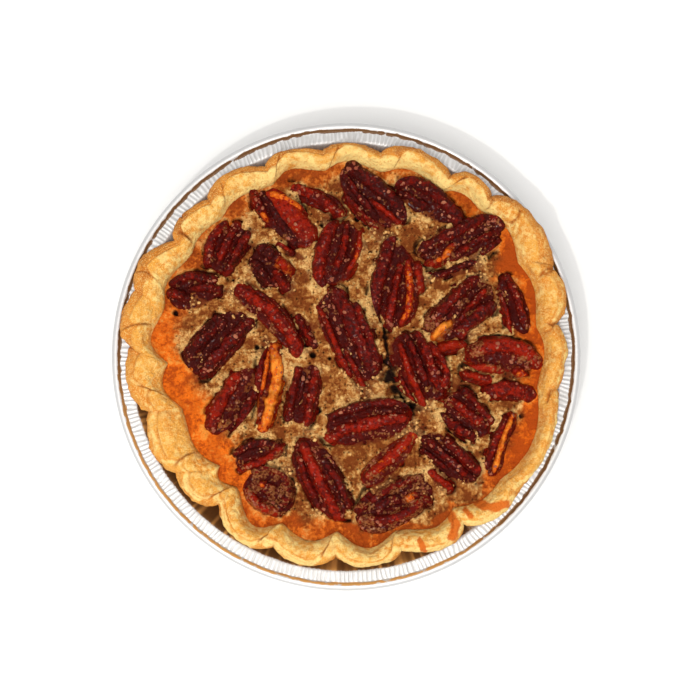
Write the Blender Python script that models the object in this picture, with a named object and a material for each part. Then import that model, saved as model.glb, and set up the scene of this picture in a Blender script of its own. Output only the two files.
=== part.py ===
"""A small pecan pie baked in its foil tin.

The tin is a turned dish with a rolled bead. The crust is a pan-shaped shell whose rim is a ribbon of dough,
pinched into twenty uneven flutes. The filling is a plug inside the crust, and the nut halves lie in pockets
in its top. Metres, +Z up, with the origin under the middle of the tin, on the surface that it stands on.
"""

import math
from itertools import pairwise

import bmesh
import bpy
from mathutils import Vector, noise

MM = 0.001

# The tin, in millimetres
TIN_RADIUS = 84.0
BEAD_RADIUS = 1.45
FOIL = 0.5
TIN_DEPTH = 24.5
MOUTH_RADIUS = 76.6
BASE_RADIUS = 58.3
BASE_CORNER = 1.5
TIN_SEGMENTS = 72
BEAD_STEPS = 8

# The crust, in millimetres
GAP = 0.3
RIM_TOP = 31.6
FOLD_DROP = 1.3
ROOT_LIFT = 0.25
LIP_INSET = 0.7
LIP_LIFT = 0.45
LIP_LIFT_OVER_BEAD = 1.7
BEAD_REACH = (79.0, 82.3)
INNER_SLOPE = 1.2
FLOOR_THICKNESS = 4.4
INNER_FLOOR_RADIUS = 54.0
COLUMNS_PER_FLUTE = 7

# A cut across the rim: shares of the way from its inner edge to its outer edge, and of its height
RIM_SECTION = ((1.0, 0.28), (0.84, 0.78), (0.52, 1.0), (0.2, 0.84), (0.0, 0.45))
SCALLOP_FULLNESS = 0.6

# Each flute of the rim, counterclockwise from +X: the angle of the fold that it starts at, how many degrees
# further on that fold reaches the filling, the rim's outer and inner radius at the fold, the same two radii
# at the bulge, and where the bulge lies between this fold (0) and the next one (1).
FLUTES = (
    (8.0, 0.0, 76.1, 69.7, 81.8, 72.3, 0.62),
    (22.5, 5.5, 79.8, 70.9, 83.4, 74.2, 0.52),
    (47.3, 0.0, 77.1, 71.7, 79.6, 72.6, 0.45),
    (59.5, 0.0, 74.7, 69.2, 78.2, 71.4, 0.57),
    (80.2, -1.4, 73.6, 67.8, 76.3, 70.5, 0.62),
    (96.6, 0.0, 74.1, 67.6, 76.5, 70.7, 0.62),
    (113.4, 0.0, 73.7, 67.4, 78.0, 69.4, 0.62),
    (131.8, 0.8, 74.5, 67.3, 77.4, 68.5, 0.57),
    (146.6, 0.4, 74.1, 67.0, 81.3, 70.1, 0.65),
    (163.2, 2.0, 79.0, 68.2, 81.5, 71.1, 0.57),
    (178.2, 5.0, 76.3, 64.7, 78.6, 67.4, 0.42),
    (196.5, 2.0, 73.3, 62.6, 77.1, 64.2, 0.57),
    (215.2, 6.6, 72.9, 61.1, 75.5, 64.5, 0.38),
    (229.9, 1.0, 70.4, 62.4, 76.4, 70.3, 0.60),
    (249.4, 0.0, 72.7, 65.4, 76.2, 68.6, 0.50),
    (267.1, 0.0, 71.8, 64.2, 76.0, 70.4, 0.53),
    (285.6, 0.0, 72.4, 66.3, 77.4, 70.3, 0.65),
    (304.4, 0.4, 73.7, 67.6, 79.1, 72.1, 0.56),
    (323.5, 0.0, 78.4, 72.5, 79.3, 74.4, 0.36),
    (350.2, 0.0, 76.1, 70.2, 78.9, 71.9, 0.60),
)

# The filling, in millimetres
FILLING_EDGE = 25.2
FILLING_DOME = 1.3
FILLING_SWELL = 0.5
SWELL_SIZE = 17.0
FILLING_RADIUS = 70.0

# Rings of the filling's top: a share of its radius, and how many of the rim's cuts each step skips
FILLING_RINGS = ((0.86, 2), (0.62, 4), (0.32, 4))

# Each nut half, in millimetres and degrees: the middle (x, y), the way that it points, its length and
# width, how many lobes its back has, how far it bows sideways, and how much deeper than the rest it lies.
NUTS = (
    (-42.5, 37.8, 62, 20.0, 13.0, 3, 0.0, 0.0),
    (-54.6, 21.9, 14, 19.5, 12.5, 2, 0.0, 0.0),
    (-22.3, 48.2, -42, 29.0, 12.5, 3, 0.0, 0.0),
    (-9.4, 55.6, -22, 19.5, 8.0, 2, 0.0, 1.0),
    (-27.0, 30.6, -38, 18.5, 13.5, 2, 0.0, 0.0),
    (8.8, 56.6, -47, 30.0, 14.5, 3, 0.0, 0.0),
    (-2.6, 35.9, 68, 24.5, 16.0, 2, 0.0, 0.0),
    (18.3, 24.4, 92, 32.0, 16.5, 3, 0.0, 0.0),
    (29.9, 54.2, -30, 25.0, 11.5, 3, 0.0, 0.0),
    (41.6, 40.3, 21, 31.0, 12.8, 3, 0.0, 0.0),
    (38.2, 29.2, 14, 17.5, 4.8, 2, 0.0, 1.5),
    (41.0, 15.4, 38, 29.5, 16.0, 3, 0.0, 0.0),
    (60.3, 17.0, -68, 23.0, 10.2, 2, 0.0, 0.0),
    (55.6, -1.2, -8, 28.0, 11.5, 3, 0.0, 0.0),
    (58.2, -13.6, -5, 18.5, 7.5, 2, 0.0, 0.0),
    (25.6, -5.2, -57, 28.5, 16.5, 3, 0.0, 0.0),
    (0.6, 6.0, -63, 36.0, 16.5, 3, 0.0, 0.0),
    (-27.4, 12.4, -46, 31.5, 10.5, 2, 3.0, 0.0),
    (-46.2, 4.2, 45, 30.0, 16.5, 2, 0.0, 0.0),
    (-40.6, -16.8, 57, 29.0, 12.5, 2, 0.0, 0.0),
    (-27.0, -11.7, 80, 30.5, 8.8, 2, 0.0, 0.0),
    (-14.8, -14.4, 75, 23.0, 12.5, 2, 0.0, 0.0),
    (7.7, -25.2, 8, 31.0, 15.5, 3, 0.0, 0.0),
    (-8.9, -44.6, -62, 32.5, 16.0, 3, 0.0, 0.0),
    (14.6, -38.6, 43, 25.0, 10.5, 2, 0.0, 0.0),
    (17.3, -54.0, 28, 31.0, 15.6, 3, 0.0, 0.0),
    (36.6, -37.4, -42, 25.5, 12.0, 2, 0.0, 0.0),
    (43.2, -22.0, -45, 21.0, 13.5, 3, 0.0, 0.0),
    (55.2, -33.0, 68, 25.0, 9.0, 2, 0.0, 0.0),
    (-31.6, -35.6, 28, 18.5, 9.0, 2, 0.0, 0.0),
    (-27.4, -49.7, -30, 20.5, 14.6, 2, 0.0, 0.0),
    (-14.0, 8.6, -60, 13.0, 4.6, 2, 0.0, 0.5),
    (36.9, 1.6, 8, 10.0, 4.4, 2, 0.0, 0.5),
    (45.4, -8.9, -12, 10.0, 4.6, 2, 0.0, 0.5),
    (34.0, -46.2, -38, 10.5, 4.0, 2, 0.0, 0.5),
    (-19.0, 36.0, -28, 11.0, 4.0, 2, 0.0, 1.5),
)
NUT_RISE = 2.9
NUT_RISE_SHARE = 0.125
NUT_KEEL = 2.8
NUT_STATIONS = (-0.88, -0.56, -0.19, 0.19, 0.56, 0.88)
NUT_BLUNTNESS = 2.4
NUT_TAPER = 0.10
NUT_LIFT = 0.4
POCKET_GAP = 0.45

# Cross-sections of a nut's back, across it and up: shares of half its width and of its rise or keel
SECTIONS = {
    2: ((1.0, 0.0), (0.78, 0.66), (0.4, 1.0), (0.0, 0.52), (-0.4, 1.0), (-0.78, 0.66), (-1.0, 0.0),
        (-0.55, -1.0), (0.55, -1.0)),
    3: ((1.0, 0.0), (0.72, 0.72), (0.36, 0.6), (0.0, 1.0), (-0.36, 0.6), (-0.72, 0.72), (-1.0, 0.0),
        (-0.55, -1.0), (0.55, -1.0)),
}


def clear_scene():
    for obj in list(bpy.data.objects):
        bpy.data.objects.remove(obj, do_unlink=True)


def material(name, colour, roughness, metallic=0.0):
    made = bpy.data.materials.new(name)
    made.use_nodes = True
    shader = made.node_tree.nodes["Principled BSDF"]
    shader.inputs["Base Color"].default_value = (*colour, 1.0)
    shader.inputs["Roughness"].default_value = roughness
    shader.inputs["Metallic"].default_value = metallic
    return made


def new_object(name, vertices, faces, finish, collection=None):
    """An object whose vertices are given in millimetres."""
    mesh = bpy.data.meshes.new(name)
    mesh.from_pydata([[c * MM for c in point] for point in vertices], [], faces)
    made = bmesh.new()
    made.from_mesh(mesh)
    bmesh.ops.recalc_face_normals(made, faces=made.faces)
    made.to_mesh(mesh)
    made.free()
    mesh.shade_smooth()
    mesh.set_sharp_from_angle(angle=math.radians(35))
    mesh.materials.append(finish)
    obj = bpy.data.objects.new(name, mesh)
    (collection or bpy.context.scene.collection).objects.link(obj)
    return obj


def polar(angle, radius, z):
    """A point from an angle in degrees."""
    turn = math.radians(angle)
    return (radius * math.cos(turn), radius * math.sin(turn), z)


def mix(a, b, share):
    return a + (b - a) * share


class Skin:
    """Collects rings of points and the faces between them."""

    def __init__(self):
        self.points = []
        self.faces = []

    def ring(self, points):
        first = len(self.points)
        self.points += points
        return list(range(first, len(self.points)))

    def band(self, a, b):
        """Triangles between two rings of the same length."""
        count = len(a)
        for i in range(count):
            j = (i + 1) % count
            self.faces.append((a[i], a[j], b[j]))
            self.faces.append((a[i], b[j], b[i]))

    def halving_band(self, a, b):
        """Triangles between ring a and a ring b that has half as many points."""
        count = len(b)
        for i in range(count):
            near, middle, far = a[2 * i], a[2 * i + 1], a[(2 * i + 2) % len(a)]
            self.faces.append((near, middle, b[i]))
            self.faces.append((middle, b[(i + 1) % count], b[i]))
            self.faces.append((middle, far, b[(i + 1) % count]))

    def cap(self, ring, point):
        """A fan from a ring to one point."""
        tip = len(self.points)
        self.points.append(point)
        for i, corner in enumerate(ring):
            self.faces.append((corner, ring[(i + 1) % len(ring)], tip))


def wall_radius(z):
    """The radius of the tin's inside at a height."""
    low = (BASE_RADIUS + BASE_CORNER, FOIL + BASE_CORNER * 0.3)
    return mix(low[0], MOUTH_RADIUS, (z - low[1]) / (TIN_DEPTH - low[1]))


def make_tin():
    """The dish, turned from one profile: its outside, the bead round its rim, then its inside."""
    bead_middle = TIN_RADIUS - BEAD_RADIUS
    bead_height = TIN_DEPTH - FOIL / 2
    join = math.asin(FOIL / 2 / BEAD_RADIUS)
    profile = [
        (BASE_RADIUS, 0.0),
        (BASE_RADIUS + BASE_CORNER + 0.3, BASE_CORNER * 0.4),
        (MOUTH_RADIUS + 0.6, TIN_DEPTH - FOIL),
    ]
    for step in range(BEAD_STEPS + 1):
        turn = -math.pi + join + step * (2 * math.pi - 2 * join) / BEAD_STEPS
        across = BEAD_RADIUS * math.cos(turn)
        profile.append((bead_middle + across, bead_height + BEAD_RADIUS * math.sin(turn)))
    profile += [
        (MOUTH_RADIUS, TIN_DEPTH),
        (wall_radius(FOIL + BASE_CORNER * 0.3), FOIL + BASE_CORNER * 0.3),
        (BASE_RADIUS, FOIL),
    ]
    skin = Skin()
    rings = []
    for radius, z in profile:
        rings.append(skin.ring([polar(i * 360 / TIN_SEGMENTS, radius, z) for i in range(TIN_SEGMENTS)]))
    for a, b in pairwise(rings):
        skin.band(a, b)
    skin.cap(rings[0], (0.0, 0.0, 0.0))
    skin.cap(rings[-1], (0.0, 0.0, FOIL))
    foil = material("foil", (0.80, 0.80, 0.80), 0.28, 1.0)
    new_object("tin", skin.points, skin.faces, foil)


class Column:
    """One cut across the rim: its outer and inner edge, and how far it stands out of the fold."""

    def __init__(self, outer_angle, inner_angle, outer, inner, bulge):
        self.outer_angle = outer_angle
        self.inner_angle = inner_angle
        self.outer = outer
        self.inner = inner
        self.bulge = bulge

    def at(self, share, z):
        """A point on the cut, from its inner edge (0) to its outer edge (1)."""
        return polar(
            mix(self.inner_angle, self.outer_angle, share),
            mix(self.inner, self.outer, share),
            z,
        )

    def contact(self, gap=0.0):
        """Where the filling's edge meets the crust."""
        return polar(self.inner_angle, self.inner - INNER_SLOPE - gap, FILLING_EDGE)

    def inner_floor(self, gap=0.0):
        """Where the filling's side meets its floor."""
        return polar(self.inner_angle, INNER_FLOOR_RADIUS - gap, FOIL + GAP + FLOOR_THICKNESS + gap)


def rim_columns():
    """Cuts all round the rim, starting anew at each fold."""
    columns = []
    for index, (start, slant, fold_out, fold_in, bulge_out, bulge_in, middle) in enumerate(FLUTES):
        following = FLUTES[(index + 1) % len(FLUTES)]
        turn = (following[0] - start) % 360
        inner_turn = turn + following[1] - slant
        bend = math.log(0.5) / math.log(middle)
        for step in range(COLUMNS_PER_FLUTE):
            share = step / COLUMNS_PER_FLUTE
            bulge = math.sin(math.pi * share**bend) ** SCALLOP_FULLNESS
            columns.append(
                Column(
                    start + turn * share,
                    start + slant + inner_turn * share,
                    mix(mix(fold_out, following[2], share), bulge_out, bulge),
                    mix(mix(fold_in, following[3], share), bulge_in, bulge),
                    bulge,
                )
            )
    return columns


def seat_height(radius):
    """How low the rim's underside can lie over the tin's flange and bead."""
    start, end = BEAD_REACH
    over_bead = max(0.0, (radius - start) / (end - start))
    return TIN_DEPTH + mix(LIP_LIFT, LIP_LIFT_OVER_BEAD, over_bead)


def make_crust(columns):
    """The shell: from the floor's underside out and up the wall, over the rim and down its inner side."""
    under = [polar(column.outer_angle, BASE_RADIUS, FOIL + GAP) for column in columns]
    root = []
    lip = []
    rim_rings = [[] for _ in RIM_SECTION]
    for column in columns:
        top = RIM_TOP - FOLD_DROP * (1 - column.bulge)
        reach = column.outer - LIP_INSET
        seat = seat_height(reach)
        root_radius = min(reach, wall_radius(TIN_DEPTH) - 2 * GAP)
        root.append(polar(column.outer_angle, root_radius, TIN_DEPTH + ROOT_LIFT))
        lip.append(polar(column.outer_angle, reach, seat))
        for ring, (share, height) in zip(rim_rings, RIM_SECTION, strict=True):
            ring.append(column.at(share, mix(mix(FILLING_EDGE, seat, share), top, height)))
    contact = [column.contact() for column in columns]
    floor = [column.inner_floor() for column in columns]
    skin = Skin()
    rings = [skin.ring(points) for points in [under, root, lip, *rim_rings, contact, floor]]
    for a, b in pairwise(rings):
        skin.band(a, b)
    skin.cap(rings[0], (0.0, 0.0, FOIL + GAP))
    skin.cap(rings[-1], (0.0, 0.0, FOIL + GAP + FLOOR_THICKNESS))
    pastry = material("pastry", (0.82, 0.50, 0.17), 0.55)
    new_object("crust", skin.points, skin.faces, pastry)


def filling_height(x, y):
    """The filling's top: a low dome with a few soft swells."""
    dome = 1 - (x * x + y * y) / FILLING_RADIUS**2
    swell = noise.noise(Vector((x / SWELL_SIZE, y / SWELL_SIZE, 0.0)))
    return FILLING_EDGE + FILLING_DOME * dome + FILLING_SWELL * swell


def make_filling(columns, pockets):
    """The plug inside the crust, with its top in rings and a pocket round each nut."""
    skin = Skin()
    floor = skin.ring([column.inner_floor(GAP) for column in columns])
    edge = skin.ring([column.contact(GAP) for column in columns])
    skin.band(edge, floor)
    skin.cap(floor, (0.0, 0.0, FOIL + 2 * GAP + FLOOR_THICKNESS))
    previous = edge
    for share, step in FILLING_RINGS:
        points = []
        for column in columns[::step]:
            edge_x, edge_y, _ = column.contact(GAP)
            x, y = edge_x * share, edge_y * share
            points.append((x, y, filling_height(x, y)))
        ring = skin.ring(points)
        if len(ring) < len(previous):
            skin.halving_band(previous, ring)
        else:
            skin.band(previous, ring)
        previous = ring
    skin.cap(previous, (0.0, 0.0, filling_height(0.0, 0.0)))
    custard = material("custard", (0.30, 0.13, 0.035), 0.45)
    filling = new_object("filling", skin.points, skin.faces, custard)
    cut = filling.modifiers.new("pockets", "BOOLEAN")
    cut.operation = "DIFFERENCE"
    cut.operand_type = "COLLECTION"
    cut.collection = pockets
    cut.solver = "EXACT"


def nut_skin(length, width, lobes, bow, grown=0.0):
    """A nut half lying along X, grown all round by an amount."""
    half = length / 2 + grown
    rise = NUT_RISE + NUT_RISE_SHARE * width + grown
    keel = NUT_KEEL + grown
    half_width = width / 2 + grown
    skin = Skin()
    rings = []
    for station in NUT_STATIONS:
        size = (1 - abs(station) ** NUT_BLUNTNESS) ** 0.5
        spread = half_width * size * (1 - NUT_TAPER * station)
        x = half * station
        middle = bow * (0.5 - station * station)
        points = []
        for across, up in SECTIONS[lobes]:
            z = up * size * (rise if up > 0 else keel)
            points.append((x, middle + across * spread, z))
        rings.append(skin.ring(points))
    for a, b in pairwise(rings):
        skin.band(a, b)
    end = bow * -0.5
    skin.cap(rings[0], (-half, end, 0.0))
    skin.cap(rings[-1], (half, end, 0.0))
    return skin


def make_nuts():
    """The nut halves, and a cutter round each for its pocket."""
    pockets = bpy.data.collections.new("pockets")
    bpy.context.scene.collection.children.link(pockets)
    glazed_nut = material("glazed nut", (0.16, 0.018, 0.008), 0.22)
    for number, (x, y, heading, length, width, lobes, bow, depth) in enumerate(NUTS, start=1):
        place = (x * MM, y * MM, (filling_height(x, y) + NUT_LIFT - depth) * MM)
        skin = nut_skin(length, width, lobes, bow)
        nut = new_object(f"pecan_{number:02d}", skin.points, skin.faces, glazed_nut)
        skin = nut_skin(length, width, lobes, bow, POCKET_GAP)
        pocket = new_object(f"pocket_{number:02d}", skin.points, skin.faces, glazed_nut, pockets)
        pocket.hide_render = True
        pocket.display_type = "WIRE"
        for obj in (nut, pocket):
            obj.location = place
            obj.rotation_euler = (0.0, 0.0, math.radians(heading))
    return pockets


clear_scene()
make_tin()
rim = rim_columns()
make_crust(rim)
make_filling(rim, make_nuts())
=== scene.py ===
"""A small pecan pie baked in its foil tin. Tables are in millimetres and degrees, meshes in metres."""

import itertools
import math

import bpy
import numpy as np
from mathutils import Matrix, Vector, noise
from mathutils.bvhtree import BVHTree


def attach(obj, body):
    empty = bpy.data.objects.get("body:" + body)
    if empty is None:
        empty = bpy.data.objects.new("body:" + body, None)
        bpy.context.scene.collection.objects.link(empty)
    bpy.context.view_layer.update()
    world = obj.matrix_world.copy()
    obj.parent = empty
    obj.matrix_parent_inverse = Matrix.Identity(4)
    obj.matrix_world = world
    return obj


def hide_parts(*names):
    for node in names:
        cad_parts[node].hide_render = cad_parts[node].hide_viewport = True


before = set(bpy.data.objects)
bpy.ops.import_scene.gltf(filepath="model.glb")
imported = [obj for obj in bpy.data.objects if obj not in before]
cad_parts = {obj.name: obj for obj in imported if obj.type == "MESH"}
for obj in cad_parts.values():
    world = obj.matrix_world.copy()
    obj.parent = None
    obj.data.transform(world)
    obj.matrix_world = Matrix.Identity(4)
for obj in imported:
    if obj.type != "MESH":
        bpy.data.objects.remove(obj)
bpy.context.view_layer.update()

# The tin: one disc of soft aluminium foil, pressed into a dish. The press leaves some 300 uneven crimps that
# run up the wall and across the flange, and the cut edge is rolled into a bead. The crimps are painted white on
# their ridges and grey in their valleys, a painted highlight and painted shade. The line between flange and bead
# is a painted brown reflection, golder towards the front as if lit there. The wall where the crust has shrunk
# away from it is painted brown, partly syrup and partly a painted reflection of the crust and painted shade.

MM = 0.001
TIN_COLUMNS = 2170
CRIMPS = 310
CRIMP_HEIGHT = 0.22
CRIMP_WANDER = 3.0
BEAD_MIDDLE = (82.55, 24.25)
BEAD_RADIUS = 1.42
# White and grey are lit and shaded copies of the foil: painted highlight on the crimps' ridges, painted shade in
# their valleys. The grey also tints a few dull patches.
FOIL_LIT_WHITE = (0.63, 0.63, 0.635)
FOIL_DULL_AND_SHADED_GREY = (0.50, 0.495, 0.49)
# Browns for the bead's line and the wall: painted reflection and painted shade, with some syrup stain on the wall.
STAIN_REFLECTION_SHADE_DARK = (0.085, 0.032, 0.008)
STAIN_REFLECTION_GOLD = (0.60, 0.30, 0.085)


def dice(cells, seed):
    """A random number from -1 to 1 for each whole-numbered cell."""
    key = cells * (73856093, 19349663, 83492791)
    mixed = key[..., 0] ^ key[..., 1] ^ key[..., 2] ^ (seed * 2654435)
    mixed = (mixed ^ (mixed >> 13)) * 1274126177
    return ((mixed ^ (mixed >> 16)) & 0xFFFF) / 32767.5 - 1


def lumps(points, size, seed):
    """Smooth noise from -1 to 1 at each point, with lumps of a size."""
    cells = points / size + seed * 7.31
    low = np.floor(cells).astype(np.int64)
    share = cells - low
    share = share * share * (3 - 2 * share)
    total = 0.0
    for corner in itertools.product((0, 1), repeat=3):
        total = total + dice(low + corner, seed) * np.where(corner, share, 1 - share).prod(-1)
    return total


def smooth(values, low, high):
    """0 up to low, 1 from high, and a soft step between them."""
    share = np.clip((values - low) / (high - low), 0, 1)
    return share * share * (3 - 2 * share)


def polar(angle, radius, z):
    """Points from angles in degrees."""
    turn = np.radians(angle)
    return np.stack(np.broadcast_arrays(radius * np.cos(turn), radius * np.sin(turn), z), -1)


def facing(angle, way, low, high):
    """How far each angle faces a way: 0 up to a low cosine between them, 1 from a high one."""
    return smooth(np.cos(np.radians(angle - way)), low, high)


def grid_faces(rows, columns, wraps=True):
    """Quads between the rows of a grid."""
    here = np.arange(columns if wraps else columns - 1)
    first = np.arange(rows - 1)[:, None] * columns
    a = first + here
    b = first + (here + 1) % columns
    return np.stack([a, b, b + columns, a + columns], -1).reshape(-1, 4).tolist()


def fan(ring, tip):
    """Triangles from a ring of corners to one point."""
    return [(corner, ring[(i + 1) % len(ring)], tip) for i, corner in enumerate(ring)]


def new_piece(name, points, faces, finish, **masks):
    """A smooth closed mesh with its outside facing out. Each mask is a number for each point."""
    mesh = bpy.data.meshes.new(name)
    mesh.from_pydata(np.asarray(points) * MM, [], faces)
    places = np.empty(len(mesh.vertices) * 3)
    mesh.vertices.foreach_get("co", places)
    places = places.reshape(-1, 3)
    mesh.calc_loop_triangles()
    triangles = np.empty(len(mesh.loop_triangles) * 3, dtype=np.int64)
    mesh.loop_triangles.foreach_get("vertices", triangles)
    a, b, c = places[triangles.reshape(-1, 3)].transpose(1, 0, 2)
    if np.einsum("ij,ij->i", a, np.cross(b, c)).sum() < 0:
        mesh.flip_normals()
    mesh.shade_smooth()
    for mask, values in masks.items():
        layer = mesh.attributes.new(mask, "FLOAT", "POINT")
        layer.data.foreach_set("value", np.ascontiguousarray(values, dtype=np.float32).ravel())
    mesh.materials.append(finish)
    piece = bpy.data.objects.new(name, mesh)
    bpy.context.scene.collection.objects.link(piece)
    return piece


def new_finish(name, **plain):
    """A material, its nodes and its shader, with the plain values of the shader's own sockets."""
    made = bpy.data.materials.new(name)
    made.use_nodes = True
    shader = made.node_tree.nodes["Principled BSDF"]
    for socket, value in plain.items():
        shader.inputs[socket.replace("_", " ")].default_value = value
    return made, made.node_tree, shader


def add(tree, kind, settings, inputs):
    """A node whose inputs are numbers, colours or other nodes' outputs."""
    node = tree.nodes.new(kind)
    for name, value in settings.items():
        setattr(node, name, value)
    for name, value in inputs.items():
        if isinstance(value, bpy.types.NodeSocket):
            tree.links.new(value, node.inputs[name])
        elif isinstance(value, tuple) and len(value) == 3 and node.inputs[name].type == "RGBA":
            node.inputs[name].default_value = (*value, 1.0)
        else:
            node.inputs[name].default_value = value
    return node


def mask_of(tree, name):
    """A mask of the mesh, as a node's output."""
    return add(tree, "ShaderNodeAttribute", {"attribute_name": name}, {}).outputs["Fac"]


def blend(tree, share, under, over, strength=1.0):
    """A colour over another, where a strength weakens the share."""
    if strength != 1.0:
        share = sums(tree, "MULTIPLY", share, strength)
    return add(tree, "ShaderNodeMix", {"data_type": "RGBA"}, {0: share, 6: under, 7: over}).outputs[2]


def sums(tree, operation, a, b):
    """Arithmetic on two values. MULTIPLY_ADD also adds the node's own 0.5."""
    return add(tree, "ShaderNodeMath", {"operation": operation}, {0: a, 1: b}).outputs[0]


def step(tree, value, low, high):
    """0 below low, 1 above high."""
    inputs = {"Value": value, "From Min": low, "From Max": high}
    return add(tree, "ShaderNodeMapRange", {"interpolation_type": "SMOOTHSTEP"}, inputs).outputs["Result"]


def stirred(tree, mask, grain, amount):
    """A mask that a grain makes uneven."""
    return sums(tree, "ADD", mask, sums(tree, "MULTIPLY", sums(tree, "SUBTRACT", grain, 0.5), amount))


def wire(tree, shader, **inputs):
    for name, socket in inputs.items():
        tree.links.new(socket, shader.inputs[name.replace("_", " ")])


def make_mottle():
    """Uneven patches all through a material: a soft mask and a fine one."""
    group = bpy.data.node_groups.new("baked mottle", "ShaderNodeTree")
    for name, value in (("Size", 3.0), ("Fine size", 0.6), ("Low", 0.4), ("High", 0.6)):
        socket = group.interface.new_socket(name, in_out="INPUT", socket_type="NodeSocketFloat")
        socket.default_value = value
    for name in ("Patches", "Grain"):
        group.interface.new_socket(name, in_out="OUTPUT", socket_type="NodeSocketFloat")
    given = group.nodes.new("NodeGroupInput")
    result = group.nodes.new("NodeGroupOutput")
    place = add(group, "ShaderNodeTexCoord", {}, {}).outputs["Object"]
    outputs = []
    for size, detail in (("Size", 4.0), ("Fine size", 3.0)):
        scale = sums(group, "DIVIDE", 1000.0, given.outputs[size])
        inputs = {"Vector": place, "Scale": scale, "Detail": detail, "Roughness": 0.6}
        outputs.append(add(group, "ShaderNodeTexNoise", {}, inputs).outputs["Fac"])
    patches = step(group, outputs[0], given.outputs["Low"], given.outputs["High"])
    group.links.new(patches, result.inputs["Patches"])
    group.links.new(outputs[1], result.inputs["Grain"])
    return group


mottle = make_mottle()


def mottled(tree, size, fine_size, low=0.4, high=0.6):
    """Places the mottle group in a material."""
    inputs = {"Size": size, "Fine size": fine_size, "Low": low, "High": high}
    node = add(tree, "ShaderNodeGroup", {"node_tree": mottle}, inputs)
    return node.outputs["Patches"], node.outputs["Grain"]


def bumped(tree, height, distance, strength=1.0):
    """A normal from a height, in millimetres."""
    inputs = {"Height": height, "Distance": distance * MM, "Strength": strength}
    return add(tree, "ShaderNodeBump", {}, inputs).outputs["Normal"]


def make_foil():
    made, tree, shader = new_finish("crimped foil")
    patches, grain = mottled(tree, 5.0, 0.35)
    # The crimp mask paints the ridges white and the valleys grey: painted highlight and painted shade.
    crimp = mask_of(tree, "crimp")
    metal = blend(tree, step(tree, crimp, 0.05, 0.8), FOIL_DULL_AND_SHADED_GREY, FOIL_LIT_WHITE)
    metal = blend(tree, patches, metal, FOIL_DULL_AND_SHADED_GREY, 0.12)
    # The brown on the bead's line and on the wall is painted reflection and painted shade, partly syrup on the
    # wall.
    syrup = blend(tree, mask_of(tree, "golden"), STAIN_REFLECTION_SHADE_DARK, STAIN_REFLECTION_GOLD)
    ragged = stirred(tree, mask_of(tree, "syrup"), grain, 0.9)
    cover = step(tree, ragged, 0.42, 0.62)
    wire(
        tree,
        shader,
        Base_Color=blend(tree, cover, metal, syrup),
        Metallic=sums(tree, "MULTIPLY_ADD", cover, -0.5),
        Roughness=step(tree, grain, -0.6, 1.6),
        Normal=bumped(tree, grain, 0.05, 0.6),
    )
    return made


def tin_rows():
    """The foil's section: radius, height, and how far a crimp moves it outwards and up."""
    rows = [(44.0, 0.0, 0, 0), (45.0, 0.3, 0, 0), (46.5, 0.3, 0, 0), (47.5, 0.0, 0, 0), (57.6, 0.0, 0, 0)]
    rows += [(59.0, 0.12, 0.0, 0), (59.9, 0.6, 0.05, 0)]
    for share in np.linspace(0.08, 0.96, 9):
        rows.append((60.1 + 16.8 * share, 0.7 + 23.3 * share, 0.35 + 0.65 * share, 0))
    rows += [(77.3, 24.12, 0.5, 0.5), (78.2, 24.2, 0, 0.9), (79.6, 24.2, 0, 1.0), (80.9, 24.2, 0, 0.8)]
    for turn in np.radians(np.linspace(-170, 170, 19)):
        across, up = BEAD_RADIUS * math.cos(turn), BEAD_RADIUS * math.sin(turn)
        rows.append((BEAD_MIDDLE[0] + across, BEAD_MIDDLE[1] + up, 0.06 * math.cos(turn), 0.06 * math.sin(turn)))
    rows += [(80.9, 24.5, 0, 0.8), (80.2, 24.5, 0, 1.0), (79.0, 24.5, 0, 1.0), (77.8, 24.5, 0, 1.0)]
    rows += [(77.0, 24.42, 0.4, 0.6), (76.5, 24.0, 0.8, 0.1)]
    for share in np.linspace(0.94, 0.06, 9):
        rows.append((59.8 + 16.7 * share, 1.0 + 23.0 * share, 0.35 + 0.65 * share, 0))
    rows += [(59.4, 0.75, 0.05, 0), (58.6, 0.42, 0, 0), (57.4, 0.3, 0, 0)]
    rows += [(47.6, 0.3, 0, 0), (46.6, 0.6, 0, 0), (44.9, 0.6, 0, 0), (43.9, 0.3, 0, 0)]
    return np.array(rows)


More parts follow.
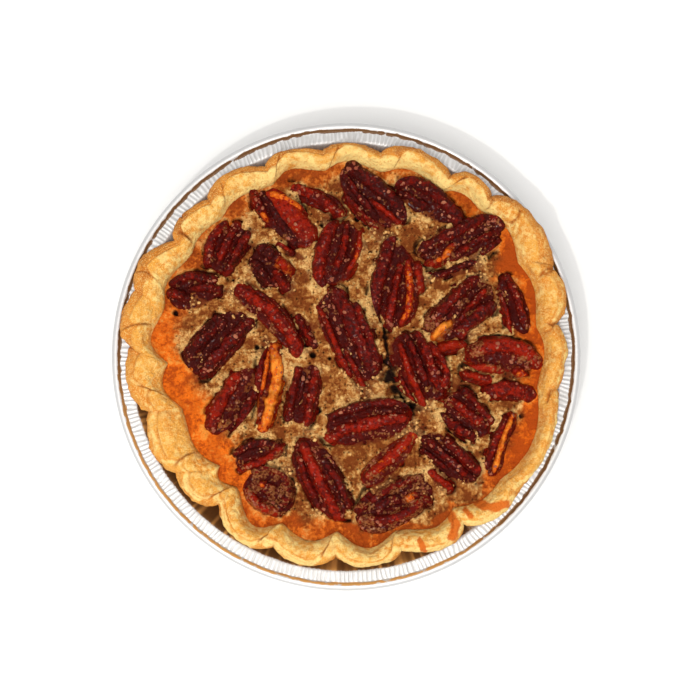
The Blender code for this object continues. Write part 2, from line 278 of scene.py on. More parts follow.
def make_tin():
    rows = tin_rows()
    angle = np.arange(TIN_COLUMNS) * 360 / TIN_COLUMNS
    radius, z, out, up = (rows[:, i, None] for i in range(4))
    flat = polar(angle, radius, z)
    level = flat * (1, 1, 0)
    bend = lumps(level, 4.2, 3) * CRIMP_WANDER + lumps(level, 1.7, 4) * 1.3
    phase = np.radians(angle) * CRIMPS + bend
    ridge = (0.5 + 0.5 * np.cos(phase)) * (0.75 + 0.5 * lumps(level, 2.6, 5)) + 0.22 * lumps(level, 1.3, 10)
    height = CRIMP_HEIGHT * (ridge - 0.55)
    points = polar(angle, radius + out * height, z + up * height)
    points[..., 2] = np.clip(points[..., 2], 0.0, None)
    # The bead's brown line is a painted reflection, set inwards and golder towards the front as if lit there. The
    # wall's brown, strongest where the crust has shrunk away, is partly syrup and partly painted reflection and
    # painted shade.
    front = facing(angle, 248, 0.3, 0.8)
    strayed = radius + 0.3 * lumps(level, 2.2, 12) - 0.35 * front
    foot = smooth(strayed, 80.6, 81.0) * (1 - smooth(strayed, 81.5, 82.1)) * smooth(z, 24.3, 24.5)
    syrup = foot * (1.0 + 0.6 * lumps(level, 1.5, 8) - 0.1 * front)
    shrunk = facing(angle, 240, 0.25, 0.75)
    inside = (np.arange(len(rows)) > len(rows) // 2 + 2)[:, None]
    wall = inside * (1 - smooth(radius, 76.4, 77.6)) * (0.35 + 0.85 * shrunk)
    syrup = np.maximum(syrup, wall * (1 + 0.3 * lumps(level, 3.7, 9)))
    streaks = smooth(lumps(polar(angle, 62.0, 0.0), 1.2, 6), -0.1, 0.8)
    golden = np.where(foot > wall, 0.12 + 0.8 * front, 0.05 + 0.75 * streaks)
    count = points.shape[0] * points.shape[1]
    flat_points = np.concatenate([points.reshape(-1, 3), [(0, 0, 0), (0, 0, 0.3)]])
    faces = grid_faces(len(rows), TIN_COLUMNS)
    faces += fan(list(range(TIN_COLUMNS)), count)
    faces += fan(list(range(count - TIN_COLUMNS, count)), count + 1)
    # The crimp mask: ridges painted light, valleys painted grey, a painted highlight and painted shade.
    crimp = np.where(out + up > 0.2, ridge + 0.35 * lumps(level, 1.5, 11), 0.9)
    masks = {"crimp": crimp, "syrup": syrup, "golden": golden}
    for name, values in masks.items():
        masks[name] = np.append(np.broadcast_to(values, points.shape[:2]).ravel(), (0, 0))
    return new_piece("foil_tin", flat_points, faces, make_foil(), **masks)


foil_tin = make_tin()
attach(foil_tin, "root")
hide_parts("tin")

# The crust: shortcrust pastry, rolled out, laid in the tin and cut off at its edge. The edge is rolled under and
# pinched into twenty flutes, each of which starts in a knob that laps over the one before. It is baked pale gold
# and browner on its outer slope, with a few cracks, blisters and drops of syrup. Light is painted in as well. The
# crest is painted paler by side: on its inner face towards the top, on its outer band away from the top, and most
# at the top and bottom of the view (painted highlight). The outer slope is painted browner towards the top, and the
# inner half oranger away from it (painted shade). The creases and cracks are painted dark (painted shade).

RIM_TOP = 31.6
FOLD_DROP = 1.3
FILLING_EDGE = 25.2
INNER_SLOPE = 1.2
CUTS_PER_FLUTE = 60
RING_STEPS = 9
OUTER_FULLNESS = 0.6
INNER_FULLNESS = 1.2
RIM_SECTION = ((1.0, 0.28), (0.84, 0.78), (0.52, 1.0), (0.2, 0.84), (0.0, 0.45))
FLANGE_TOP = 24.5
LIP_INSET = 0.7
LIP_LIFT = 0.45
LIP_LIFT_OVER_BEAD = 1.25
BEAD_START = 79.0
BEAD_WIDTH = 3.3
CRUST_REACH = 83.9
CRUST_CEILING = 31.75
CRUST_FOOT = (58.3, 0.8)
CRUST_FLOOR = (54.0, 5.2)

# Each flute, counterclockwise from +X: the angle of its fold, how many degrees further on that fold reaches the
# filling, the rim's outer and inner radius there and at the bulge, and where the bulge lies in the flute.
FLUTES = (
    (8.0, 0.0, 76.1, 69.7, 81.8, 72.3, 0.62),
    (22.5, 5.5, 79.8, 70.9, 83.4, 74.2, 0.52),
    (47.3, 0.0, 77.1, 71.7, 79.6, 72.6, 0.45),
    (59.5, 0.0, 74.7, 69.2, 78.2, 71.4, 0.57),
    (80.2, -1.4, 73.6, 67.8, 76.3, 70.5, 0.62),
    (96.6, 0.0, 74.1, 67.6, 76.5, 70.7, 0.62),
    (113.4, 0.0, 73.7, 67.4, 78.0, 69.4, 0.62),
    (131.8, 0.8, 74.5, 67.3, 77.4, 68.5, 0.57),
    (146.6, 0.4, 74.1, 67.0, 81.3, 70.1, 0.65),
    (163.2, 2.0, 79.0, 68.2, 81.5, 71.1, 0.57),
    (178.2, 5.0, 76.3, 64.7, 78.6, 67.4, 0.42),
    (196.5, 2.0, 73.3, 62.6, 77.1, 64.2, 0.57),
    (215.2, 6.6, 72.9, 61.1, 75.5, 64.5, 0.38),
    (229.9, 1.0, 70.4, 62.4, 76.4, 70.3, 0.60),
    (249.4, 0.0, 72.7, 65.4, 76.2, 68.6, 0.50),
    (267.1, 0.0, 71.8, 64.2, 76.0, 70.4, 0.53),
    (285.6, 0.0, 72.4, 66.3, 77.4, 70.3, 0.65),
    (304.4, 0.4, 73.7, 67.6, 79.1, 72.1, 0.56),
    (323.5, 0.0, 78.4, 72.5, 79.3, 74.4, 0.36),
    (350.2, 0.0, 76.1, 70.2, 78.9, 71.9, 0.60),
)

# Where each flute laps over the one before: the crease's angle and its place across the rim (0 at the outer edge,
# 1 at the inner one) at one end and at the other, and how sharp it is
CREASES = (
    (7.8, 0.3, 5.8, 1.0, 0.6), (22.4, 0.05, 21.7, 0.65, 0.8), (46.6, 0.4, 45.7, 1.0, 0.6),
    (56.0, 0.4, 58.6, 1.0, 0.9), (74.6, 0.5, 75.4, 1.0, 0.7), (92.2, 0.4, 94.6, 1.0, 1.0),
    (108.8, 0.35, 112.2, 1.0, 1.0), (126.4, 0.3, 129.0, 0.95, 0.5), (144.5, 0.4, 144.0, 0.9, 0.8),
    (158.9, 0.1, 158.3, 0.6, 0.7), (174.4, 0.15, 171.8, 0.9, 0.9), (189.4, 0.45, 193.0, 1.0, 0.9),
    (213.6, 0.3, 213.0, 0.9, 1.0), (227.0, 0.4, 229.6, 1.0, 0.9), (245.2, 0.4, 248.2, 1.0, 1.0),
    (263.2, 0.4, 266.2, 1.0, 1.0), (282.8, 0.5, 285.4, 1.0, 0.8), (300.6, 0.45, 303.8, 1.0, 0.9),
    (321.0, 0.05, 320.4, 0.5, 0.5), (350.4, 0.2, 347.6, 0.8, 0.9),
)

# Cracks in the crust, from point to point
CRUST_CRACKS = (
    ((62.3, 50.9), (61.2, 48.4), (58.7, 46.3)),
    ((73.1, 30.1), (70.6, 29.4), (68.8, 27.2)),
    ((74.5, 10.6), (73.2, 9.8), (71.6, 10.4)),
    ((72.6, -13.2), (71.2, -14.7), (70.4, -17.2)),
    ((-59.6, 43.4), (-57.0, 41.9), (-55.4, 40.2)),
    ((-61.0, 50.4), (-59.2, 49.1), (-57.6, 49.6)),
)

# Syrup that boiled over and ran on the crust: half width, then from point to point
SYRUP_RUNS = (
    (1.8, (46.0, -52.3), (49.0, -54.2), (52.7, -54.6), (56.0, -53.1)),
    (1.8, (37.1, -57.2), (38.6, -60.9), (37.1, -64.6)),
    (1.3, (25.9, -66.1), (27.4, -69.8)),
    (1.2, (42.0, -55.5), (43.5, -57.5)),
)

# The pale is both the pastry's own pale and a painted highlight on the crest.
CRUST_PALE_AND_HIGHLIGHT = (0.93, 0.665, 0.235)
CRUST_GOLD = (0.79, 0.345, 0.050)
CRUST_ORANGE = (0.69, 0.235, 0.026)
# The toast colour is both browning and painted shade on the outer slope towards the top.
CRUST_TOAST_AND_SHADE = (0.48, 0.140, 0.018)
# The crease colour is painted shade in the creases and cracks.
CRUST_CREASE_SHADE = (0.43, 0.115, 0.013)
SYRUP_STAIN = (0.66, 0.145, 0.012)


def rim_cuts():
    """Cuts across the rim: the angle and radius of its outer and inner edge, and how far it stands out."""
    cuts = []
    for index, (start, slant, fold_out, fold_in, bulge_out, bulge_in, middle) in enumerate(FLUTES):
        after = FLUTES[(index + 1) % len(FLUTES)]
        turn = (after[0] - start) % 360
        share = np.arange(CUTS_PER_FLUTE) / CUTS_PER_FLUTE
        arch = np.clip(np.sin(np.pi * share ** (math.log(0.5) / math.log(middle))), 0, 1)
        bulge = arch**OUTER_FULLNESS
        outer = (fold_out + (after[2] - fold_out) * share) * (1 - bulge) + bulge_out * bulge
        hollow = arch**INNER_FULLNESS
        inner = (fold_in + (after[3] - fold_in) * share) * (1 - hollow) + bulge_in * hollow
        inner_angle = start + slant + (turn + after[1] - slant) * share
        cuts.append(np.stack([start + turn * share, inner_angle, outer, inner, bulge]))
    return np.concatenate(cuts, 1)


def through(rings, steps):
    """Rings of points with smooth curves between them (Catmull-Rom)."""
    rings = [2 * rings[0] - rings[1], *rings, 2 * rings[-1] - rings[-2]]
    made = []
    for a, b, c, d in zip(rings, rings[1:], rings[2:], rings[3:]):
        for t in np.arange(steps) / steps:
            curve = 2 * b + (c - a) * t + (2 * a - 5 * b + 4 * c - d) * t**2
            made.append(0.5 * (curve + (3 * b - a - 3 * c + d) * t**3))
    return [*made, rings[-2]]


def along_line(points, line):
    """How far points lie from a line through several places, and how far along it they are, seen from above."""
    nearest = np.full(points.shape[:-1], 1e9)
    reached = np.zeros(points.shape[:-1])
    passed = 0.0
    for start, end in zip(line, line[1:]):
        way = np.subtract(end, start)
        length = np.linalg.norm(way)
        offset = points[..., :2] - start
        share = np.clip(offset @ way / length**2, 0, 1)
        away = np.linalg.norm(offset - share[..., None] * way, axis=-1)
        reached = np.where(away < nearest, passed + share * length, reached)
        nearest = np.minimum(nearest, away)
        passed += length
    return nearest, reached


def grid_normals(points):
    """Normals of a grid whose columns run round, away from the grid's own inside."""
    down = np.gradient(points, axis=0)
    round_ = np.roll(points, -1, axis=1) - np.roll(points, 1, axis=1)
    normals = np.cross(round_, down)
    return normals / np.maximum(np.linalg.norm(normals, axis=-1, keepdims=True), 1e-9)


def mingled(tree, coarse, coarse_part, fine, fine_part):
    """Two grains added up, each by its part."""
    return sums(tree, "ADD", sums(tree, "MULTIPLY", coarse, coarse_part), sums(tree, "MULTIPLY", fine, fine_part))


def make_pastry():
    made, tree, shader = new_finish("baked pastry", IOR=1.3)
    patches, grain = mottled(tree, 6.0, 0.9, 0.38, 0.62)
    spots, fine = mottled(tree, 1.8, 0.35, 0.42, 0.60)
    # The crest mask: pale pastry, plus a painted highlight that changes with the side of the pie.
    crest_and_highlight = stirred(tree, mask_of(tree, "crest_and_highlight"), spots, 0.55)
    # The toast mask: browning, plus painted shade that changes with the side of the pie.
    warm = stirred(tree, mask_of(tree, "toast_and_shade"), patches, 0.5)
    colour = blend(tree, step(tree, warm, 0.05, 0.55), CRUST_GOLD, CRUST_ORANGE)
    colour = blend(tree, step(tree, warm, 0.55, 1.15), colour, CRUST_TOAST_AND_SHADE)
    colour = blend(tree, step(tree, crest_and_highlight, 0.15, 0.95), colour, CRUST_PALE_AND_HIGHLIGHT)
    colour = blend(tree, step(tree, fine, 0.52, 0.62), colour, CRUST_PALE_AND_HIGHLIGHT, 0.75)
    colour = blend(tree, step(tree, grain, 0.53, 0.64), colour, CRUST_ORANGE, 0.55)
    colour = blend(tree, mask_of(tree, "layer"), colour, CRUST_TOAST_AND_SHADE, 0.65)
    # Creases and cracks are painted dark: painted shade.
    colour = blend(tree, mask_of(tree, "crease_shade"), colour, CRUST_CREASE_SHADE)
    stain = step(tree, sums(tree, "ADD", mask_of(tree, "stain"), sums(tree, "MULTIPLY", grain, 0.9)), 0.55, 1.35)
    colour = blend(tree, stain, colour, SYRUP_STAIN)
    relief = mingled(tree, grain, 0.7, fine, 0.3)
    gloss = sums(tree, "SUBTRACT", sums(tree, "MULTIPLY_ADD", grain, 0.35), sums(tree, "MULTIPLY", stain, 0.3))
    gloss = sums(tree, "ADD", gloss, 0.38)
    wire(tree, shader, Base_Color=colour, Roughness=gloss, Normal=bumped(tree, relief, 1.1))
    return made


def crust_rings(cuts):
    """The crust's section at each cut, from its underside over the rim to its floor."""
    outer_angle, inner_angle, outer, inner, bulge = cuts
    top = RIM_TOP - FOLD_DROP * (1 - bulge)
    reach = outer - LIP_INSET
    seat = FLANGE_TOP + LIP_LIFT + LIP_LIFT_OVER_BEAD * np.clip((reach - BEAD_START) / BEAD_WIDTH, 0, 1)
    rings = [polar(outer_angle, np.minimum(reach, 76.0), 24.75), polar(outer_angle, reach, seat)]
    shares = [-0.45, -0.1]
    for share, height in RIM_SECTION:
        angle = inner_angle + (outer_angle - inner_angle) * share
        foot = FILLING_EDGE + (seat - FILLING_EDGE) * share
        rings.append(polar(angle, inner + (outer - inner) * share, foot + (top - foot) * height))
        shares.append(1 - share)
    rings.append(polar(inner_angle, inner - INNER_SLOPE, FILLING_EDGE))
    rings.append(polar(inner_angle, inner - INNER_SLOPE - 0.9, 22.5))
    shares += [1.12, 1.4]
    line = np.array(shares)[:, None, None] * np.ones((1, cuts.shape[1], 1))
    return through(rings, RING_STEPS), 1 - np.array(through(list(line), RING_STEPS))[..., 0]


def make_crust(cuts):
    rings, across = crust_rings(cuts)
    points = np.array(rings)
    outer_angle, inner_angle, outer, inner = cuts[:4]
    angle = inner_angle + (outer_angle - inner_angle) * across
    radius = np.linalg.norm(points[..., :2], axis=-1)
    width = (outer - inner) * np.ones_like(across)
    on_top = smooth(across, -0.12, 0.02) * (1 - smooth(across, 1.0, 1.25))
    crease_shade = np.zeros_like(across)
    lift = np.zeros_like(across)
    deep = 1 - across
    since = np.full_like(across, 99.0)
    ahead = np.full_like(across, 99.0)
    seam = 0.32 + 0.12 * lumps(points, 2.0, 31)
    for first, first_deep, last, last_deep, sharp in CREASES:
        share = (deep - first_deep) / (last_deep - first_deep)
        fold = first + (last - first) * np.clip(share, -0.8, 1.2)
        gap = np.radians((angle - fold + 180) % 360 - 180) * radius + 0.5 - 2.0 * (share - 0.5) ** 2
        since = np.minimum(since, np.where(gap >= 0, gap, 99.0))
        ahead = np.minimum(ahead, np.where(gap < 0, -gap, 99.0))
        reach = smooth(share, -0.3, 0.2) * (1 - smooth(share, 0.95, 1.25)) * sharp
        # Each crease is marked to be painted dark, as painted shade.
        crease_shade = np.maximum(crease_shade, np.exp(-((gap / seam) ** 2)) * reach)
        step_up = np.where(gap > 0, 0.80 * np.exp(-gap / 2.4), -0.55 * np.exp(gap / 2.2)) * (np.abs(gap) < 20)
        lift += (step_up - 0.65 * np.exp(-((gap / 0.5) ** 2))) * reach
    phase = since / (since + ahead)
    border = 0.33 + 0.42 * np.exp(-phase / 0.16) + 0.22 * smooth(phase, 0.86, 1.0)
    border += 0.06 * lumps(polar(angle, 60.0, 0.0), 9.0, 25)
    into = (deep - border) * width
    face = smooth(into, -0.35, 0.45)
    marked = 0.25 + 0.75 * facing(angle, 190, -0.3, 0.3)
    layer = np.exp(-((into / 0.36) ** 2)) * marked * (0.6 + 0.4 * lumps(points, 6.0, 26))
    second = np.exp(-(((into + 1.5) / 0.22) ** 2)) * smooth(lumps(polar(angle, 60.0, 9.0), 14.0, 26), 0.0, 0.5)
    layer = np.clip(layer + 0.5 * second * marked, 0, 1) * on_top
    lift += 0.80 * face * np.exp(-np.clip(into, 0, None) / 2.2) * marked - 0.75 * layer
    blister = np.clip(lumps(points, 2.3, 21) - 0.05, 0, None) * 0.8
    left = facing(angle, 196, 0.75, 0.95)
    lift += 0.40 * lumps(points, 7.0, 22) + 0.34 * lumps(points, 3.4, 23) + 0.20 * lumps(points, 1.5, 24)
    lift += blister * (0.35 + 0.65 * left)
    wander = 0.25 * lumps(points, 0.9, 27)
    for line in CRUST_CRACKS:
        apart = along_line(points, line)[0] + wander
        split = np.exp(-((np.clip(apart, 0, None) / 0.45) ** 2))
        lift -= 0.9 * split
        crease_shade = np.maximum(crease_shade, split)
    stain = np.zeros_like(across)
    wander = 0.5 * lumps(points, 1.6, 33)
    for half, *places in SYRUP_RUNS:
        away = along_line(points, places)[0] + wander
        stain = np.maximum(stain, 1 - smooth(away, half * 0.4, half * 1.3))
    points = points + grid_normals(points) * (lift * on_top)[..., None]
    far = np.linalg.norm(points[..., :2], axis=-1, keepdims=True)
    points[..., :2] *= np.minimum(1, CRUST_REACH / far)
    points[..., 2] = np.minimum(points[..., 2], CRUST_CEILING)
    mixed = lumps(points, 9.0, 28) + 0.6 * lumps(points, 3.5, 29)
    north = facing(angle, 105, -0.3, 0.6)
    south, east = (facing(angle, side, 0.4, 0.95) for side in (285, 10))
    # On top of the browning, the outer slope is painted browner towards the top, the inner half oranger away from
    # it, browner to the east and paler to the south: painted shade by side.
    toast_and_shade = 0.28 * smooth(mixed, -0.5, 0.9) + (0.14 + 0.50 * north) * (1 - face)
    toast_and_shade = toast_and_shade + 0.25 * (1 - smooth(deep, 0.0, 0.15))
    hollow = smooth(deep, 0.35, 0.7) * (1 - north)
    toast_and_shade = toast_and_shade + 0.16 * east - 0.1 * south + 0.10 * hollow
    patchy = 0.75 + 0.45 * lumps(points, 5.0, 32) + 0.25 * lumps(points, 1.6, 35)
    # The crest is painted paler by side: on the inner face towards the top, on the outer band away from the top,
    # and most at the top and bottom (painted highlight).
    crest_and_highlight = face * (0.40 + (0.27 + 0.35 * smooth(deep, 0.55, 0.9)) * north + 0.12 * hollow)
    crest_and_highlight = crest_and_highlight + 1.3 * np.exp(-(((into + 1.7) / 1.2) ** 2)) * (1 - north)
    crest_and_highlight = crest_and_highlight * patchy * (1.0 - 0.38 * np.cos(np.radians(2 * angle)) + 0.3 * south)
    foot = [polar(outer_angle, *CRUST_FOOT)]
    floor = [polar(inner_angle, *CRUST_FLOOR)]
    middles = [(0, 0, CRUST_FOOT[1]), (0, 0, CRUST_FLOOR[1])]
    flat = np.concatenate([np.concatenate([foot, points, floor]).reshape(-1, 3), middles])
    columns = cuts.shape[1]
    rows = points.shape[0] + 2
    faces = grid_faces(rows, columns)
    faces += fan(list(range(columns)), rows * columns)
    faces += fan(list(range((rows - 1) * columns, rows * columns)), rows * columns + 1)
    masks = {"crest_and_highlight": crest_and_highlight, "toast_and_shade": toast_and_shade, "layer": layer, "crease_shade": crease_shade * on_top, "stain": stain}
    for name, values in masks.items():
        rim = np.clip(values, 0, 1).ravel()
        masks[name] = np.concatenate([np.zeros(columns), rim, np.zeros(columns + 2)])
    return new_piece("pastry_crust", flat, faces, make_pastry(), **masks)


cuts = rim_cuts()
pastry_crust = make_crust(cuts)
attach(pastry_crust, "root")
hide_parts("crust")

# The filling: eggs, syrup and brown sugar, poured over the nuts and baked until it sets. Round the rim it is a
# clear orange caramel, and between the nuts it has risen into a tan foam of fine bubbles, with pores, torn
# cracks along the nuts and a red-brown glaze where it is thin. Light is painted into it. The foam and the caramel
# are painted darker in the valleys of their relief and paler on its peaks (painted shade and highlight). The
# caramel is painted darker away from the left (painted shade), and the pores, holes and cracks black (painted
# shade).

# Each nut half: the middle (x, y), the way that it points, its length and width, how far it bows sideways,
# how much deeper than the rest it lies, and how far the froth has dried on it (0 to 1)
NUTS = (
    (-42.5, 37.8, 62, 20.0, 13.0, 0.0, 0.0, 0.0),
    (-54.6, 21.9, 14, 19.5, 12.5, 0.0, 0.0, 0.0),
    (-22.3, 48.2, -42, 29.0, 12.5, 0.0, 0.0, 0.0),
    (-9.4, 55.6, -22, 19.5, 8.0, 0.0, 1.0, 0.0),
    (-27.0, 30.6, -38, 18.5, 13.5, 0.0, 0.0, 0.0),
    (8.8, 56.6, -47, 30.0, 14.5, 0.0, 0.0, 0.0),
    (-2.6, 35.9, 68, 24.5, 16.0, 0.0, 0.0, 0.0),
    (18.3, 24.4, 92, 32.0, 16.5, 0.0, 0.0, 0.0),
    (29.9, 54.2, -30, 25.0, 11.5, 0.0, 0.0, 0.0),
    (41.6, 40.3, 21, 31.0, 12.8, 0.0, 0.0, 0.4),
    (38.2, 29.2, 14, 17.5, 4.8, 0.0, 1.5, 0.0),
    (41.0, 15.4, 38, 29.5, 16.0, 0.0, 0.0, 0.4),
    (60.3, 17.0, -68, 23.0, 10.2, 0.0, 0.0, 0.0),
    (55.6, -1.2, -8, 28.0, 11.5, 0.0, 0.0, 0.5),
    (58.2, -13.6, -5, 18.5, 7.5, 0.0, 0.0, 0.0),
    (25.6, -5.2, -57, 28.5, 16.5, 0.0, 0.0, 0.0),
    (0.6, 6.0, -63, 36.0, 16.5, 0.0, 0.0, 0.0),
    (-27.4, 12.4, -46, 31.5, 10.5, 3.0, 0.0, 0.0),
    (-46.2, 4.2, 45, 30.0, 16.5, 0.0, 0.0, 0.0),
    (-40.6, -16.8, 57, 29.0, 12.5, 0.0, 0.0, 0.0),
    (-27.0, -11.7, 80, 30.5, 8.8, 0.0, 0.0, 0.0),
    (-14.8, -14.4, 75, 23.0, 12.5, 0.0, 0.0, 0.0),
    (7.7, -25.2, 8, 31.0, 15.5, 0.0, 0.0, 0.0),
    (-8.9, -44.6, -62, 32.5, 16.0, 0.0, 0.0, 0.0),
    (14.6, -38.6, 43, 25.0, 10.5, 0.0, 0.0, 0.4),
    (17.3, -54.0, 28, 31.0, 15.6, 0.0, 0.0, 0.75),
    (36.6, -37.4, -42, 25.5, 12.0, 0.0, 0.0, 0.0),
    (43.2, -22.0, -45, 21.0, 13.5, 0.0, 0.0, 0.3),
    (55.2, -33.0, 68, 25.0, 9.0, 0.0, 0.0, 0.0),
    (-31.6, -35.6, 28, 18.5, 9.0, 0.0, 0.0, 0.5),
    (-27.4, -49.7, -30, 20.5, 14.6, 0.0, 0.0, 1.0),
    (-14.0, 8.6, -60, 13.0, 4.6, 0.0, 0.5, 0.0),
    (36.9, 1.6, 8, 10.0, 4.4, 0.0, 0.5, 0.0),
    (45.4, -8.9, -12, 10.0, 4.6, 0.0, 0.5, 0.0),
    (34.0, -46.2, -38, 10.5, 4.0, 0.0, 0.5, 0.0),
    (-19.0, 36.0, -28, 11.0, 4.0, 0.0, 1.5, 0.0),
)
NUT_BLUNTNESS = 2.4
NUT_TAPER = 0.10
NUT_LIFT = 0.2

